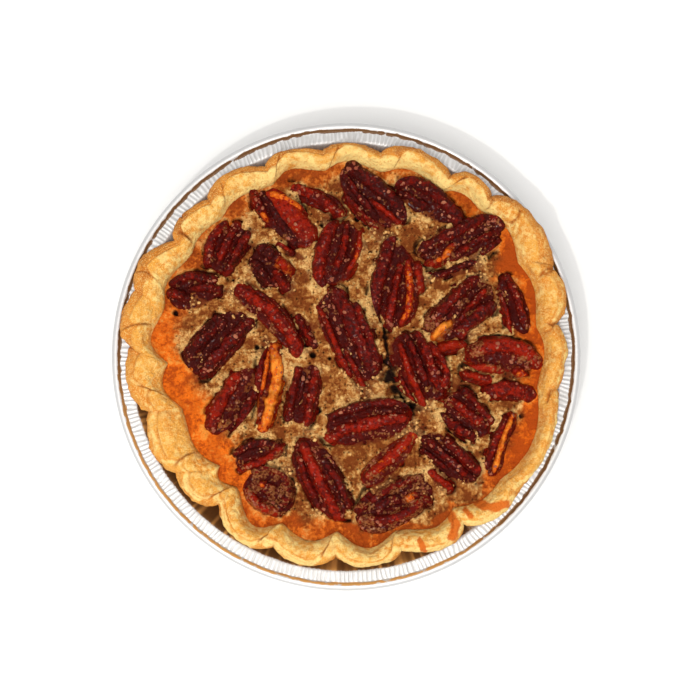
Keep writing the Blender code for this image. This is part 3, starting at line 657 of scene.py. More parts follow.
# Each lobe of a nut: the nut, the lobe's half width, its height as a share of the nut's, its tone from purple (0)
# over brown (0.5) and red (1) to bare orange (1.6) and amber flesh (2), and the places that its crest runs through
LOBES = (
    (1, 2.1, 0.9, 0.5, (-44.4, 46.9), (-48.2, 40.4), (-49.6, 33.9)),
    (1, 1.8, 0.95, 0.5, (-39.4, 46.1), (-42.9, 39.3), (-45.7, 32.5)),
    (1, 1.9, 1.0, 0.4, (-35.8, 42.5), (-38.9, 36.1), (-42.8, 28.9)),
    (2, 2.1, 0.9, 0.3, (-62.0, 25.6), (-55.6, 27.8), (-47.8, 26.4)),
    (2, 2.3, 1.0, 0.4, (-62.7, 21.7), (-59.8, 21.0), (-57.0, 19.9)),
    (2, 1.9, 0.9, 0.4, (-54.9, 23.1), (-50.3, 23.5), (-46.0, 22.8)),
    (3, 2.1, 0.9, 0.5, (-33.4, 58.4), (-31.5, 53.0), (-28.3, 48.0)),
    (3, 1.5, 1.1, 1.6, (-28.0, 57.5), (-22.5, 56.0), (-16.6, 52.4)),
    (3, 1.3, 0.95, 1.6, (-31.0, 51.0), (-27.9, 47.4)),
    (3, 1.8, 0.6, 0.0, (-30.1, 57.7), (-26.2, 51.9), (-22.2, 45.4), (-18.6, 40.4)),
    (3, 3.9, 1.0, 1.0, (-25.5, 56.6), (-20.1, 50.5), (-14.0, 42.9)),
    (4, 2.5, 1.0, 0.6, (-20.8, 60.3), (-14.7, 58.1), (-7.6, 54.8), (-2.2, 50.8)),
    (5, 2.8, 0.9, 0.1, (-29.7, 37.5), (-25.4, 34.6)),
    (5, 2.1, 0.95, 1.2, (-24.0, 33.5), (-21.1, 29.9)),
    (5, 2.1, 0.8, 0.1, (-32.1, 32.1), (-30.0, 29.2), (-28.2, 26.0)),
    (5, 2.1, 0.9, 0.5, (-25.0, 28.9), (-21.8, 23.9)),
    (6, 3.2, 1.0, 0.1, (2.1, 67.1), (10.3, 61.3), (17.1, 54.8), (19.6, 50.5)),
    (6, 1.4, 0.8, 0.95, (9.2, 54.8), (13.9, 51.2), (18.5, 47.2)),
    (6, 1.6, 0.75, 0.3, (-0.4, 64.2), (4.2, 57.0), (9.9, 50.5)),
    (6, 1.4, 0.6, 0.6, (0.6, 56.3), (5.7, 50.5), (10.6, 45.4)),
    (7, 2.8, 1.0, 0.6, (-5.4, 45.4), (-8.3, 37.5), (-10.0, 26.0)),
    (7, 1.6, 0.75, 0.5, (0.3, 46.1), (-0.8, 38.2), (-4.3, 29.2)),
    (7, 1.3, 0.85, 1.1, (4.9, 43.3), (3.9, 35.3), (0.3, 28.5)),
    (8, 2.8, 1.0, 0.35, (15.6, 40.4), (13.1, 31.4), (10.6, 22.4), (9.2, 13.8)),
    (8, 1.8, 0.9, 0.65, (19.2, 31.0), (17.4, 23.1), (15.9, 16.0), (15.2, 9.9)),
    (8, 1.6, 1.05, 1.4, (22.0, 32.8), (22.7, 24.2), (22.3, 16.0), (19.8, 11.0)),
    (8, 1.8, 0.6, 0.95, (25.6, 30.7), (26.3, 23.9)),
    (9, 2.8, 1.0, 0.25, (18.6, 62.8), (25.0, 61.7), (32.1, 57.4), (37.8, 51.6), (40.3, 46.9)),
    (9, 1.8, 0.6, 0.2, (20.0, 58.1), (25.7, 54.8), (30.0, 51.9)),
    (10, 2.7, 1.0, 0.3, (27.8, 37.9), (34.6, 41.5), (42.4, 45.4), (50.7, 49.0), (54.6, 46.9)),
    (10, 1.6, 0.8, 1.6, (30.6, 32.1), (35.2, 34.6), (38.1, 38.9)),
    (10, 1.8, 0.7, 0.4, (39.2, 35.3), (46.0, 40.0), (53.5, 43.6)),
    (10, 1.8, 0.6, 0.3, (49.2, 36.1), (54.5, 39.7)),
    (11, 1.6, 1.0, 0.05, (30.2, 28.2), (35.6, 28.9), (42.4, 32.1), (48.1, 33.9)),
    (12, 2.8, 1.0, 0.35, (45.5, 26.0), (39.1, 20.3), (33.4, 14.5), (30.1, 9.9)),
    (12, 1.3, 0.9, 0.6, (51.2, 23.5), (46.9, 19.9), (43.0, 15.6), (41.2, 12.4)),
    (12, 2.8, 0.95, 0.4, (51.5, 17.0), (45.8, 12.8), (40.4, 7.8)),
    (12, 1.6, 1.05, 2.2, (31.2, 6.0), (33.7, 8.5), (36.9, 10.6)),
    (13, 1.9, 1.0, 0.45, (57.6, 27.1), (60.8, 20.3), (63.9, 9.9)),
    (13, 1.3, 0.8, 0.65, (55.4, 21.0), (57.5, 13.5), (58.5, 7.4)),
    (14, 3.2, 1.0, 0.85, (46.0, 0.3), (54.6, 3.1), (63.1, 1.0), (67.3, -2.9)),
    (14, 1.8, 0.8, 1.1, (42.5, -5.8), (48.1, -5.0), (54.5, -5.8)),
    (14, 2.1, 0.8, 1.6, (60.9, -6.1), (63.3, -8.9)),
    (15, 2.8, 1.0, 0.65, (51.6, -13.6), (58.0, -12.5), (65.1, -14.3)),
    (16, 1.5, 0.9, 0.95, (19.5, 2.8), (21.9, -5.4), (25.4, -13.9), (27.5, -18.2)),
    (16, 1.0, 0.6, 0.7, (19.8, -9.3), (22.2, -14.3), (24.3, -17.8)),
    (16, 1.6, 0.9, 0.3, (21.2, 6.3), (24.8, -0.8), (28.3, -11.1)),
    (16, 2.1, 1.0, 0.5, (25.9, 6.3), (29.4, -1.8), (33.2, -12.5)),
    (16, 1.6, 0.95, 0.65, (30.1, 2.8), (34.0, -2.2), (35.4, -7.5), (33.6, -14.3)),
    (17, 1.3, 0.8, 0.75, (-9.7, 16.3), (-6.5, 9.5), (-2.9, 1.0), (1.0, -7.2)),
    (17, 3.4, 1.0, 0.35, (-3.6, 21.7), (0.7, 13.5), (5.3, 3.1), (9.2, -5.4)),
    (17, 1.8, 0.9, 0.45, (3.5, 17.0), (7.8, 6.7), (10.9, -2.6)),
    (17, 1.3, 0.7, 0.75, (-0.4, 1.0), (3.5, -6.1), (6.7, -13.2)),
    (18, 2.7, 1.0, 0.7, (-37.8, 22.8), (-31.4, 18.5), (-24.6, 12.8), (-19.6, 6.0), (-17.4, 0.6)),
    (19, 2.8, 0.95, 0.1, (-45.2, 11.0), (-50.1, 6.3), (-55.4, -0.1)),
    (19, 2.5, 1.0, 0.3, (-34.9, 11.0), (-40.5, 4.6), (-46.1, -1.5), (-50.7, -7.2)),
    (20, 2.8, 1.0, 0.8, (-39.0, -8.6), (-42.9, -14.6), (-46.4, -20.6), (-47.7, -25.2)),
    (20, 2.1, 0.85, 0.35, (-33.3, -14.6), (-36.1, -21.7), (-39.6, -29.5)),
    (21, 1.8, 0.8, 0.4, (-29.2, 3.5), (-30.5, -4.0), (-31.2, -11.8)),
    (21, 2.3, 1.0, 2.0, (-25.6, 2.1), (-24.5, -6.1), (-25.9, -15.3), (-29.7, -26.6)),
    (21, 0.9, 1.0, 1.7, (-27.7, 0.3), (-28.7, -7.5), (-30.1, -14.3)),
    (22, 1.8, 0.9, 0.5, (-17.1, -5.8), (-18.8, -14.6), (-20.5, -23.1)),
    (22, 1.9, 1.0, 0.6, (-11.0, -6.8), (-12.1, -15.0), (-13.8, -24.2)),
    (22, 1.1, 0.6, 0.15, (-14.9, -7.5), (-17.0, -18.2)),
    (23, 1.9, 0.9, 0.3, (-5.4, -22.8), (1.4, -19.6), (11.3, -17.8), (20.8, -17.8)),
    (23, 2.5, 1.0, 0.8, (-6.1, -29.8), (2.1, -26.6), (12.0, -24.5), (20.1, -23.1)),
    (24, 2.3, 1.05, 0.8, (-15.2, -33.0), (-11.0, -41.8), (-6.0, -51.6), (-3.2, -57.2)),
    (24, 1.6, 0.8, 0.5, (-17.3, -34.7), (-14.5, -43.5), (-9.9, -53.7)),
    (24, 1.8, 0.8, 0.3, (-7.8, -38.3), (-2.9, -44.9), (0.7, -53.7)),
    (25, 2.1, 1.0, 1.1, (24.3, -28.4), (19.0, -33.7), (13.7, -38.6), (8.1, -43.2)),
    (26, 1.8, 0.9, 0.4, (9.8, -51.9), (17.2, -46.7), (26.4, -43.9)),
    (26, 2.5, 1.0, 0.5, (5.6, -58.9), (14.0, -58.9), (22.5, -55.8), (28.1, -51.6)),
    (26, 2.1, 0.8, 0.4, (7.7, -50.2), (4.9, -55.4)),
    (26, 2.4, 0.70, 0.25, (11.5, -53.8), (20.0, -51.0)),
    (26, 1.6, 0.85, 1.6, (20.7, -52.3), (23.9, -50.2)),
    (27, 1.8, 0.9, 0.3, (27.5, -30.2), (33.5, -35.1), (40.1, -41.1), (44.7, -44.2)),
    (27, 2.1, 1.0, 0.45, (35.6, -31.2), (40.9, -36.1), (46.1, -41.4)),
    (27, 1.1, 0.6, 0.2, (27.8, -34.4), (32.4, -38.3), (36.6, -41.8)),
    (28, 2.1, 1.0, 0.65, (36.7, -16.4), (42.0, -20.6), (48.7, -25.6)),
    (28, 1.8, 0.85, 0.4, (42.1, -13.6), (46.6, -18.5), (51.2, -23.8)),
    (28, 2.1, 0.85, 0.4, (33.9, -22.4), (38.8, -25.9), (45.1, -29.8)),
    (29, 1.8, 0.9, 0.5, (56.5, -23.8), (52.9, -31.2), (50.0, -39.7)),
    (29, 1.2, 1.05, 1.9, (59.0, -22.4), (55.4, -31.2), (52.4, -41.8)),
    (30, 1.8, 0.95, 0.2, (-38.8, -35.4), (-32.2, -31.9), (-25.1, -32.6)),
    (30, 1.8, 0.85, 0.75, (-37.0, -40.7), (-29.7, -37.9), (-23.0, -34.0)),
    (31, 2.1, 1.0, 0.8, (-34.5, -49.1), (-31.0, -53.7), (-25.0, -56.1)),
    (31, 2.1, 0.9, 0.3, (-21.5, -44.9), (-20.5, -49.8), (-23.6, -54.4)),
    (31, 1.8, 0.8, 0.5, (-32.1, -41.8), (-26.8, -40.4), (-22.2, -43.2)),
    (31, 2.7, 0.66, 0.35, (-29.5, -47.0), (-25.5, -49.5)),
    (31, 1.5, 0.8, 1.6, (-30.7, -46.7), (-28.6, -46.3)),
    (32, 1.6, 1.0, 0.4, (-17.1, 13.1), (-14.6, 7.8), (-11.4, 2.8)),
    (33, 1.9, 1.0, 1.0, (33.6, 1.7), (37.6, 2.8), (41.5, 3.1)),
    (34, 1.8, 1.0, 0.9, (42.8, -7.5), (47.0, -8.6), (50.9, -9.3)),
    (35, 1.6, 1.0, 0.85, (29.9, -41.8), (33.1, -44.6), (36.6, -47.4)),
    (36, 1.1, 1.0, 0.7, (-25.4, 40.0), (-20.0, 37.1)),
)
LOBE_STEPS = 5
# How far a nut stands over the filling, and how much more for each millimetre that it is wide
NUT_RISE = (2.8, 0.125)
NUT_CEILING = 31.65

# How wide the caramel shows between the crust and the foam, by angle, and how clear and orange it is
CARAMEL_BAND = (
    (0, 6.5, 0.9), (25, 8.5, 0.9), (45, 8.5, 0.7), (70, 4.0, 0.3), (90, 4.5, 0.25), (120, 7.0, 0.2),
    (150, 7.0, 0.3), (175, 8.0, 0.9), (195, 11.5, 1.0), (212, 13.0, 1.0), (230, 10.0, 0.9), (250, 5.0, 0.5),
    (265, 8.0, 0.6), (280, 4.5, 0.5), (290, 1.8, 0.2), (315, 1.8, 0.2), (321, 7.5, 0.8), (332, 9.0, 1.0),
    (345, 6.0, 0.9), (360, 6.5, 0.9),
)

# Open holes in the foam: place, radius and how black they are painted, as painted shade
HOLES = (
    (13.9, 5.9, 1.3, 1), (15.4, -2.6, 2.6, 1), (16.3, -8.1, 3.4, 1), (17.2, -12.9, 3.2, 1),
    (23.2, -20.2, 2.8, 1), (-14.0, 3.0, 1.0, 1), (-12.2, -0.6, 1.1, 1), (-5.8, -1.6, 0.9, 1),
    (3.9, 48.5, 1.1, 1), (-8.7, 46.3, 0.8, 1), (8.5, 36.5, 0.9, 1), (17.9, 35.4, 1.3, 1),
    (-10.0, -20.2, 1.4, 1), (-61.2, 14.5, 1.0, 1), (-31.8, 2.3, 0.9, 1), (-31.8, -4.8, 1.0, 1),
    (-56.4, -2.3, 1.4, 1), (-53.2, -6.6, 1.2, 1), (-50.3, 35.4, 0.8, 1), (-44.5, 24.2, 0.8, 1),
    (-40.6, 26.4, 0.7, 1), (48.7, -13.4, 0.9, 1), (51.5, -16.6, 0.8, 1), (62.5, -22.3, 0.9, 0.5),
    (34.0, -41.4, 1.1, 1), (19.8, -39.3, 1.0, 1), (6.7, -31.9, 0.8, 1), (43.1, 52.5, 2.1, 0.15),
)

# Torn cracks, from point to point
CRACKS = (
    ((47.8, 5.7), (55.0, 6.2), (62.1, 5.2)), ((33.3, -36.6), (34.6, -39.0)),
    ((38.8, 0.2), (35.0, -0.4), (32.0, 1.4)), ((-22.6, 17.4), (-19.6, 12.6), (-17.6, 6.6)),
    ((36.9, -27.3), (42.2, -31.5)), ((-3.9, -58.6), (1.4, -59.4)),
    ((11.5, 14.0), (13.2, 10.0), (13.9, 5.9), (14.9, -0.6), (17.4, -11.3), (21.0, -17.5)),
    ((10.3, 18.0), (10.8, 26.0)),
)

DOME_RISE = 1.3
DOME_RADIUS = 70.0
SWELL_RISE = 0.5
SWELL_SIZE = 17.0
FILLING_STEPS = 421
FILLING_CEILING = 31.0
FILLING_FOOT = (53.7, 5.5)
# The caramel's deep colour is partly painted shade, in the relief's valleys and away from the left. Its pale is
# partly a painted highlight on the relief's peaks.
CARAMEL_BRIGHT = (0.84, 0.165, 0.008)
CARAMEL_DEEP_AND_SHADE = (0.45, 0.068, 0.005)
CARAMEL_PALE_AND_HIGHLIGHT = (0.88, 0.33, 0.050)
# The foam's brown is partly painted shade in the relief's valleys, and its pale partly a painted highlight on the
# peaks.
FOAM_PALE_AND_HIGHLIGHT = (0.84, 0.515, 0.185)
FOAM_TAN = (0.44, 0.170, 0.038)
FOAM_BROWN_AND_SHADE = (0.20, 0.046, 0.008)
GLAZE = (0.130, 0.018, 0.005)
# The pore colour is painted shade in pores, holes and cracks.
PORE_SHADE = (0.012, 0.004, 0.002)


def filling_height(x, y):
    """The set filling's top: a low dome with a few soft swells."""
    swell = noise.noise(Vector((x / SWELL_SIZE, y / SWELL_SIZE, 0.0)))
    return FILLING_EDGE + DOME_RISE * (1 - (x * x + y * y) / DOME_RADIUS**2) + SWELL_RISE * swell


def from_nut(points, nut):
    """How far outside a nut's outline each point lies (less than 0 inside), seen from above."""
    x, y, heading, length, width, bow, *_ = nut
    turn = math.radians(heading)
    offset = points[..., :2] - (x, y)
    along = (offset[..., 0] * math.cos(turn) + offset[..., 1] * math.sin(turn)) / (length / 2)
    side = offset[..., 1] * math.cos(turn) - offset[..., 0] * math.sin(turn)
    half = width / 2 * (1 - NUT_TAPER * np.clip(along, -1, 1))
    side = (side - bow * (0.5 - along * along)) / half
    full = side**2 + np.abs(along) ** NUT_BLUNTNESS
    slope = np.hypot(NUT_BLUNTNESS * np.abs(along) ** (NUT_BLUNTNESS - 1) / (length / 2), 2 * side / half)
    return (full - 1) / np.maximum(slope, 0.05)


def lobe_lines(number):
    """The lobes of a nut: half width, height, tone and crest line."""
    lines = []
    for which, half, high, tone, *places in LOBES:
        if which == number:
            lines.append((half, high, tone, through([np.array(place) for place in places], LOBE_STEPS)))
    return lines


def nut_top(points, number, nut):
    """A nut's height over the filling, its tone, how far outside its lobes, and the way along a lobe."""
    rise = NUT_RISE[0] + NUT_RISE[1] * nut[4]
    wobble = 0.42 * lumps(points, 2.3, 300 + number) + 0.22 * lumps(points, 1.0, 400 + number)
    inside = smooth(-from_nut(points, nut), -0.6, 1.4)
    top = np.full(points.shape[:-1], -2.6)
    tone = np.zeros(points.shape[:-1])
    clear = np.full(points.shape[:-1], 9.0)
    grain = np.zeros(points.shape)
    for index, (half, high, lobe_tone, line) in enumerate(lobe_lines(number)):
        away, reached = along_line(points, line)
        length = sum(np.linalg.norm(np.subtract(b, a)) for a, b in zip(line, line[1:]))
        ends = 1 - 0.42 * smooth(np.abs(2 * reached / length - 1), 0.5, 1.0)
        outside = away + wobble * min(1.0, half / 2.0) - half * (1 + 0.16 * lumps(points, 3.6, 500 + number))
        across = np.clip(1 + outside / half, 0, None)
        ridge = rise * high * ends * np.clip(1 - across**2.4, 0, None) ** 0.6
        ridge = np.where(outside < 0, ridge, -1.6 * outside)
        body = 0.46 * rise * high * ends * (1 - (across / 2.2) ** 2) - 3 * (1 - inside)
        both = np.maximum(ridge, body)
        wins = both > top
        top = np.where(wins, both, top)
        tone = np.where(wins, lobe_tone, tone)
        grain = np.where(wins[..., None], np.stack([reached, away, np.full_like(away, 17.0 * index)], -1), grain)
        clear = np.minimum(clear, outside)
    return top, tone, clear, grain


def bubbles(points, spacing, seed):
    """How far each point is from the middle of the nearest bubble, and a random number for that bubble."""
    cells = points[..., :2] / spacing
    low = np.floor(cells).astype(np.int64)
    nearest = np.full(cells.shape[:-1], 9.0)
    chance = np.zeros(cells.shape[:-1])
    for shift in itertools.product((-1, 0, 1), repeat=2):
        key = low + shift
        cell = np.concatenate([key, np.zeros_like(key[..., :1])], -1)
        jitter = np.stack([dice(cell, seed), dice(cell, seed + 1)], -1)
        away = np.linalg.norm(key + 0.5 + 0.5 * jitter - cells, axis=-1)
        chance = np.where(away < nearest, dice(cell, seed + 2), chance)
        nearest = np.minimum(nearest, away)
    return nearest * spacing, chance


def make_custard():
    made, tree, shader = new_finish("baked custard", IOR=1.18)
    patches, grain = mottled(tree, 5.5, 0.7, 0.40, 0.62)
    clumps, fine = mottled(tree, 1.5, 0.28, 0.40, 0.60)
    foam = mask_of(tree, "foam")
    caramel = mask_of(tree, "caramel")
    # The froth mask follows the relief's height: painted shade in its valleys, painted highlight on its peaks.
    froth = stirred(tree, mask_of(tree, "froth"), clumps, 0.35)
    froth = stirred(tree, froth, grain, 1.1)
    tan = blend(tree, step(tree, froth, 0.05, 0.50), FOAM_BROWN_AND_SHADE, FOAM_TAN)
    tan = blend(tree, step(tree, froth, 0.45, 1.0), tan, FOAM_PALE_AND_HIGHLIGHT)
    colour = blend(tree, foam, GLAZE, tan)
    syrup = blend(tree, step(tree, froth, -0.15, 0.40), CARAMEL_DEEP_AND_SHADE, CARAMEL_BRIGHT)
    syrup = blend(tree, step(tree, froth, 0.40, 0.95), syrup, CARAMEL_PALE_AND_HIGHLIGHT, 0.8)
    syrup = blend(tree, patches, syrup, CARAMEL_DEEP_AND_SHADE, 0.4)
    colour = blend(tree, caramel, colour, syrup)
    colour = blend(tree, step(tree, fine, 0.54, 0.66), colour, FOAM_BROWN_AND_SHADE, 0.35)
    # Pores are painted black: painted shade.
    pores = sums(tree, "MULTIPLY", step(tree, grain, 0.64, 0.72), sums(tree, "SUBTRACT", foam, caramel))
    colour = blend(tree, pores, colour, PORE_SHADE, 0.8)
    # Holes, torn cracks and pores are painted black: painted shade.
    colour = blend(tree, mask_of(tree, "hole_shade"), colour, PORE_SHADE)
    relief = mingled(tree, grain, 0.7, fine, 0.5)
    relief = sums(tree, "SUBTRACT", relief, sums(tree, "MULTIPLY", pores, 0.5))
    wire(
        tree,
        shader,
        Base_Color=colour,
        Roughness=step(tree, sums(tree, "ADD", foam, sums(tree, "MULTIPLY", grain, 0.6)), -0.9, 2.2),
        Normal=bumped(tree, relief, 0.8),
    )
    return made


def disc_grid(steps):
    """A square grid laid on a disc of radius 1, so that its cells stay nearly even."""
    a, b = np.meshgrid(np.linspace(-1, 1, steps), np.linspace(-1, 1, steps))
    wide = np.abs(a) > np.abs(b)
    reach = np.where(wide, a, b)
    with np.errstate(divide="ignore", invalid="ignore"):
        turn = np.where(wide, np.pi / 4 * b / a, np.pi / 2 - np.pi / 4 * a / b)
    turn = np.nan_to_num(turn)
    return reach * np.cos(turn), reach * np.sin(turn)


def grid_rim(steps):
    """The corners round the edge of a square grid, in order."""
    rim = [np.arange(steps - 1), steps * np.arange(1, steps) - 1]
    rim += [steps * steps - 1 - np.arange(steps - 1), steps * np.arange(steps - 1, 0, -1)]
    return np.concatenate(rim)


def skirt_faces(rim, first):
    """Quads from a rim down to a ring of as many corners that starts at first."""
    after = np.roll(np.arange(len(rim)), -1)
    return np.stack([rim, rim[after], first + after, first + np.arange(len(rim))], -1).tolist()


def closed_under(points, foot, middle, masks):
    """Corners, faces and masks of a solid: a top on a disc grid, a skirt from its rim to a foot, and its middle."""
    steps = len(points)
    top = points.reshape(-1, 3)
    count, around = len(top), len(foot)
    faces = grid_faces(steps, steps, wraps=False) + skirt_faces(grid_rim(steps), count)
    faces += fan(list(range(count, count + around)), count + around)
    masks = {name: np.append(values.ravel(), np.zeros(around + 1)) for name, values in masks.items()}
    return np.concatenate([top, foot, [middle]]), faces, masks


def make_filling(cuts):
    steps = FILLING_STEPS
    across, up = disc_grid(steps)
    share = np.hypot(across, up)
    angle = np.degrees(np.arctan2(up, across)) % 360
    order = np.argsort(cuts[1] % 360)
    edge = np.interp(angle, (cuts[1] % 360)[order], (cuts[3] - INNER_SLOPE + 0.15)[order], period=360)
    points = polar(angle, share * edge, 0.0)
    x, y = points[..., 0], points[..., 1]
    height = np.array([filling_height(a, b) for a, b in zip(x.ravel(), y.ravel())]).reshape(x.shape)
    clear = np.full(x.shape, 9.0)
    nut_level = np.full(x.shape, -9.0)
    within = np.zeros(x.shape)
    for number, nut in enumerate(NUTS, start=1):
        outside = from_nut(points, nut)
        within = np.maximum(within, smooth(-outside, 0.2, 1.6))
        close = outside < 5.0
        top, _, apart, _ = nut_top(points[close], number, nut)
        clear[close] = np.minimum(clear[close], apart)
        nut_level[close] = np.maximum(nut_level[close], height[close] + top + NUT_LIFT - nut[6])
    inward = (1 - share) * edge
    widths, clarity = (np.interp(angle, *zip(*[(row[0], row[i]) for row in CARAMEL_BAND])) for i in (1, 2))
    ragged = inward + 2.4 * lumps(points, 5.0, 41) + 1.6 * lumps(points, 1.8, 42)
    caramel = (1 - smooth(ragged, widths * 0.55, widths * 1.3)) * (0.35 + 0.65 * clarity)
    glazed = smooth(lumps(points, 8.0, 44) + 0.6 * lumps(points, 3.2, 45), 0.05, 0.55)
    foam = (1 - 0.8 * glazed * (1 - smooth(clear, 0.6, 3.5))) * (1 - 0.85 * within)
    # The froth mask follows this relief, so the colours paint shade into its valleys and highlight onto its peaks.
    rough = 0.55 * lumps(points, 3.0, 48) + 0.6 * np.abs(lumps(points, 1.5, 49)) + 0.3 * lumps(points, 0.9, 50)
    pale = lumps(points, 7.0, 46) + 0.6 * lumps(points, 1.8, 47)
    edging = np.exp(-np.clip(clear, 0, None) / 1.5) * (1 - within)
    froth = np.clip(0.10 + 0.70 * rough + 0.34 * pale + 0.62 * edging, 0, 1)
    # Caramel away from the left gets less froth, so it is painted darker: painted shade.
    froth = froth - 0.42 * caramel * (1 - facing(angle, 205, 0.2, 0.7))
    height = height + rough * (1.2 - 0.5 * caramel * clarity)
    climbing = lumps(points, 3.8, 52)
    height += 0.8 * np.exp(-np.clip(clear, 0, None) / 0.8) * smooth(climbing, -0.3, 0.3) * (1 - caramel)
    height += 0.7 * np.exp(-inward / 0.9)
    torn = np.exp(-(((clear - 0.3) / 0.6) ** 2)) * smooth(-climbing, -0.05, 0.25) * smooth(inward, 2.0, 4.0)
    away, chance = bubbles(points, 1.7, 60)
    rare = 0.62 - 0.6 * np.exp(-np.clip(clear, 0, None) / 1.5)
    size = 0.22 + 0.28 * np.clip(chance - rare, 0, 1)
    pore = (1 - smooth(away, size * 0.6, size * 1.3)) * (chance > rare) * (1 - caramel)
    hole = np.zeros(x.shape)
    hole_shade = np.zeros(x.shape)
    uneven = 0.42 * lumps(points, 2.1, 53) + 0.22 * lumps(points, 0.9, 55)
    for hole_x, hole_y, radius, black in HOLES:
        ring = np.hypot(x - hole_x, y - hole_y) + radius * uneven
        pit = 1 - smooth(ring, radius * 0.5, radius * 1.1)
        hole = np.maximum(hole, pit)
        hole_shade = np.maximum(hole_shade, pit * black)
    wander = 0.45 * lumps(points, 1.4, 54)
    for line in CRACKS:
        split = 1 - smooth(along_line(points, line)[0] + wander, 0.15, 0.85)
        hole = np.maximum(hole, split)
        hole_shade = np.maximum(hole_shade, split)
    height -= 2.2 * torn + 0.8 * pore + 2.4 * hole
    # This mask paints torn cracks, pores, holes and cracks black: painted shade.
    hole_shade = np.clip(0.80 * torn + 0.85 * pore + hole_shade, 0, 1)
    height = np.where(nut_level > height + 0.6, np.minimum(height, nut_level - 0.9), height)
    points[..., 2] = np.minimum(height, FILLING_CEILING)
    foot = points.reshape(-1, 3)[grid_rim(steps)] * (1, 1, 0)
    foot = foot / np.linalg.norm(foot, axis=1, keepdims=True) * FILLING_FOOT[0] + (0, 0, FILLING_FOOT[1])
    masks = {"foam": foam, "caramel": caramel, "froth": froth, "hole_shade": hole_shade}
    flat, faces, masks = closed_under(points, foot, (0, 0, FILLING_FOOT[1]), masks)
    return new_piece("custard_filling", flat, faces, make_custard(), **masks)


custard_filling = make_filling(cuts)
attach(custard_filling, "root")
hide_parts("filling")

# The nuts: 31 pecan halves, laid on before baking, and five broken pieces between them. Each has long lobes with
# furrows between, wrinkled across, and a dark red-brown skin under clear syrup. Where the skin is torn, the orange
# flesh shows, and froth has dried on a few. The furrows and the low sides of the lobes are painted dark purple:
# painted shade, partly syrup.

NUT_MARGIN = 1.6
NUT_STEPS_PER_MM = 2.3
NUT_CROWN = 1.1
NUT_KEEL = 3.6
# The purple is both a skin tone and painted shade in the furrows and on the low sides of the lobes.
SKIN_PURPLE_AND_SHADE = (0.045, 0.0040, 0.0030)
SKIN_BROWN = (0.115, 0.0045, 0.0024)
SKIN_RED = (0.300, 0.0120, 0.0030)
FLESH_ORANGE = (0.70, 0.120, 0.008)
FLESH_AMBER = (0.88, 0.27, 0.028)
SKIN_CRUST = (0.150, 0.034, 0.012)
SKIN_FROTH = (0.40, 0.150, 0.046)
SKIN_SUGAR = (0.42, 0.11, 0.060)
SKIN_SHADES = ((0.0, 0.35, SKIN_BROWN), (0.45, 0.95, SKIN_RED), (1.25, 1.6, FLESH_ORANGE), (1.65, 2.2, FLESH_AMBER))


def make_nut_skin():
    made, tree, shader = new_finish("glazed pecan skin", IOR=1.16, Coat_Roughness=0.1)
    patches, grain = mottled(tree, 3.0, 0.9, 0.36, 0.64)
    streaks, fine = mottled(tree, 1.4, 0.42, 0.38, 0.62)
    uneven = sums(tree, "MULTIPLY", sums(tree, "SUBTRACT", sums(tree, "ADD", patches, streaks), 1.1), 0.46)
    tone = sums(tree, "ADD", mask_of(tree, "tone"), uneven)
    colour = SKIN_PURPLE_AND_SHADE
    for low, high, shade in SKIN_SHADES:
        colour = blend(tree, step(tree, tone, low, high), colour, shade)
    # The furrow mask paints the furrows and the lobes' low sides purple: painted shade, partly syrup.
    furrow_shade = mask_of(tree, "furrow_shade")
    colour = blend(tree, furrow_shade, colour, SKIN_PURPLE_AND_SHADE, 0.85)
    crusted = stirred(tree, mask_of(tree, "crusted"), grain, 2.4)
    froth = blend(tree, step(tree, grain, 0.44, 0.60), SKIN_CRUST, SKIN_FROTH)
    colour = blend(tree, step(tree, crusted, 0.45, 1.05), colour, froth, 0.62)
    place = add(tree, "ShaderNodeTexCoord", {}, {}).outputs["Object"]
    cells = add(tree, "ShaderNodeTexVoronoi", {"feature": "F1"}, {"Vector": place, "Scale": 430.0})
    ragged = sums(tree, "ADD", cells.outputs["Distance"], sums(tree, "MULTIPLY", grain, 0.75))
    sugared = sums(tree, "MULTIPLY", sums(tree, "SUBTRACT", 1.0, step(tree, ragged, 0.42, 0.56)), 0.8)
    colour = blend(tree, sugared, colour, SKIN_SUGAR)
    relief = mingled(tree, grain, 0.7, fine, 0.4)
    relief = sums(tree, "ADD", relief, sums(tree, "MULTIPLY", sugared, 0.3))
    wire(tree, shader, Base_Color=colour, Roughness=step(tree, fine, 0.15, 1.8), Normal=bumped(tree, relief, 1.0))
    wire(tree, shader, Coat_Weight=sums(tree, "MULTIPLY", step(tree, grain, 0.58, 0.64), 0.6))
    return made


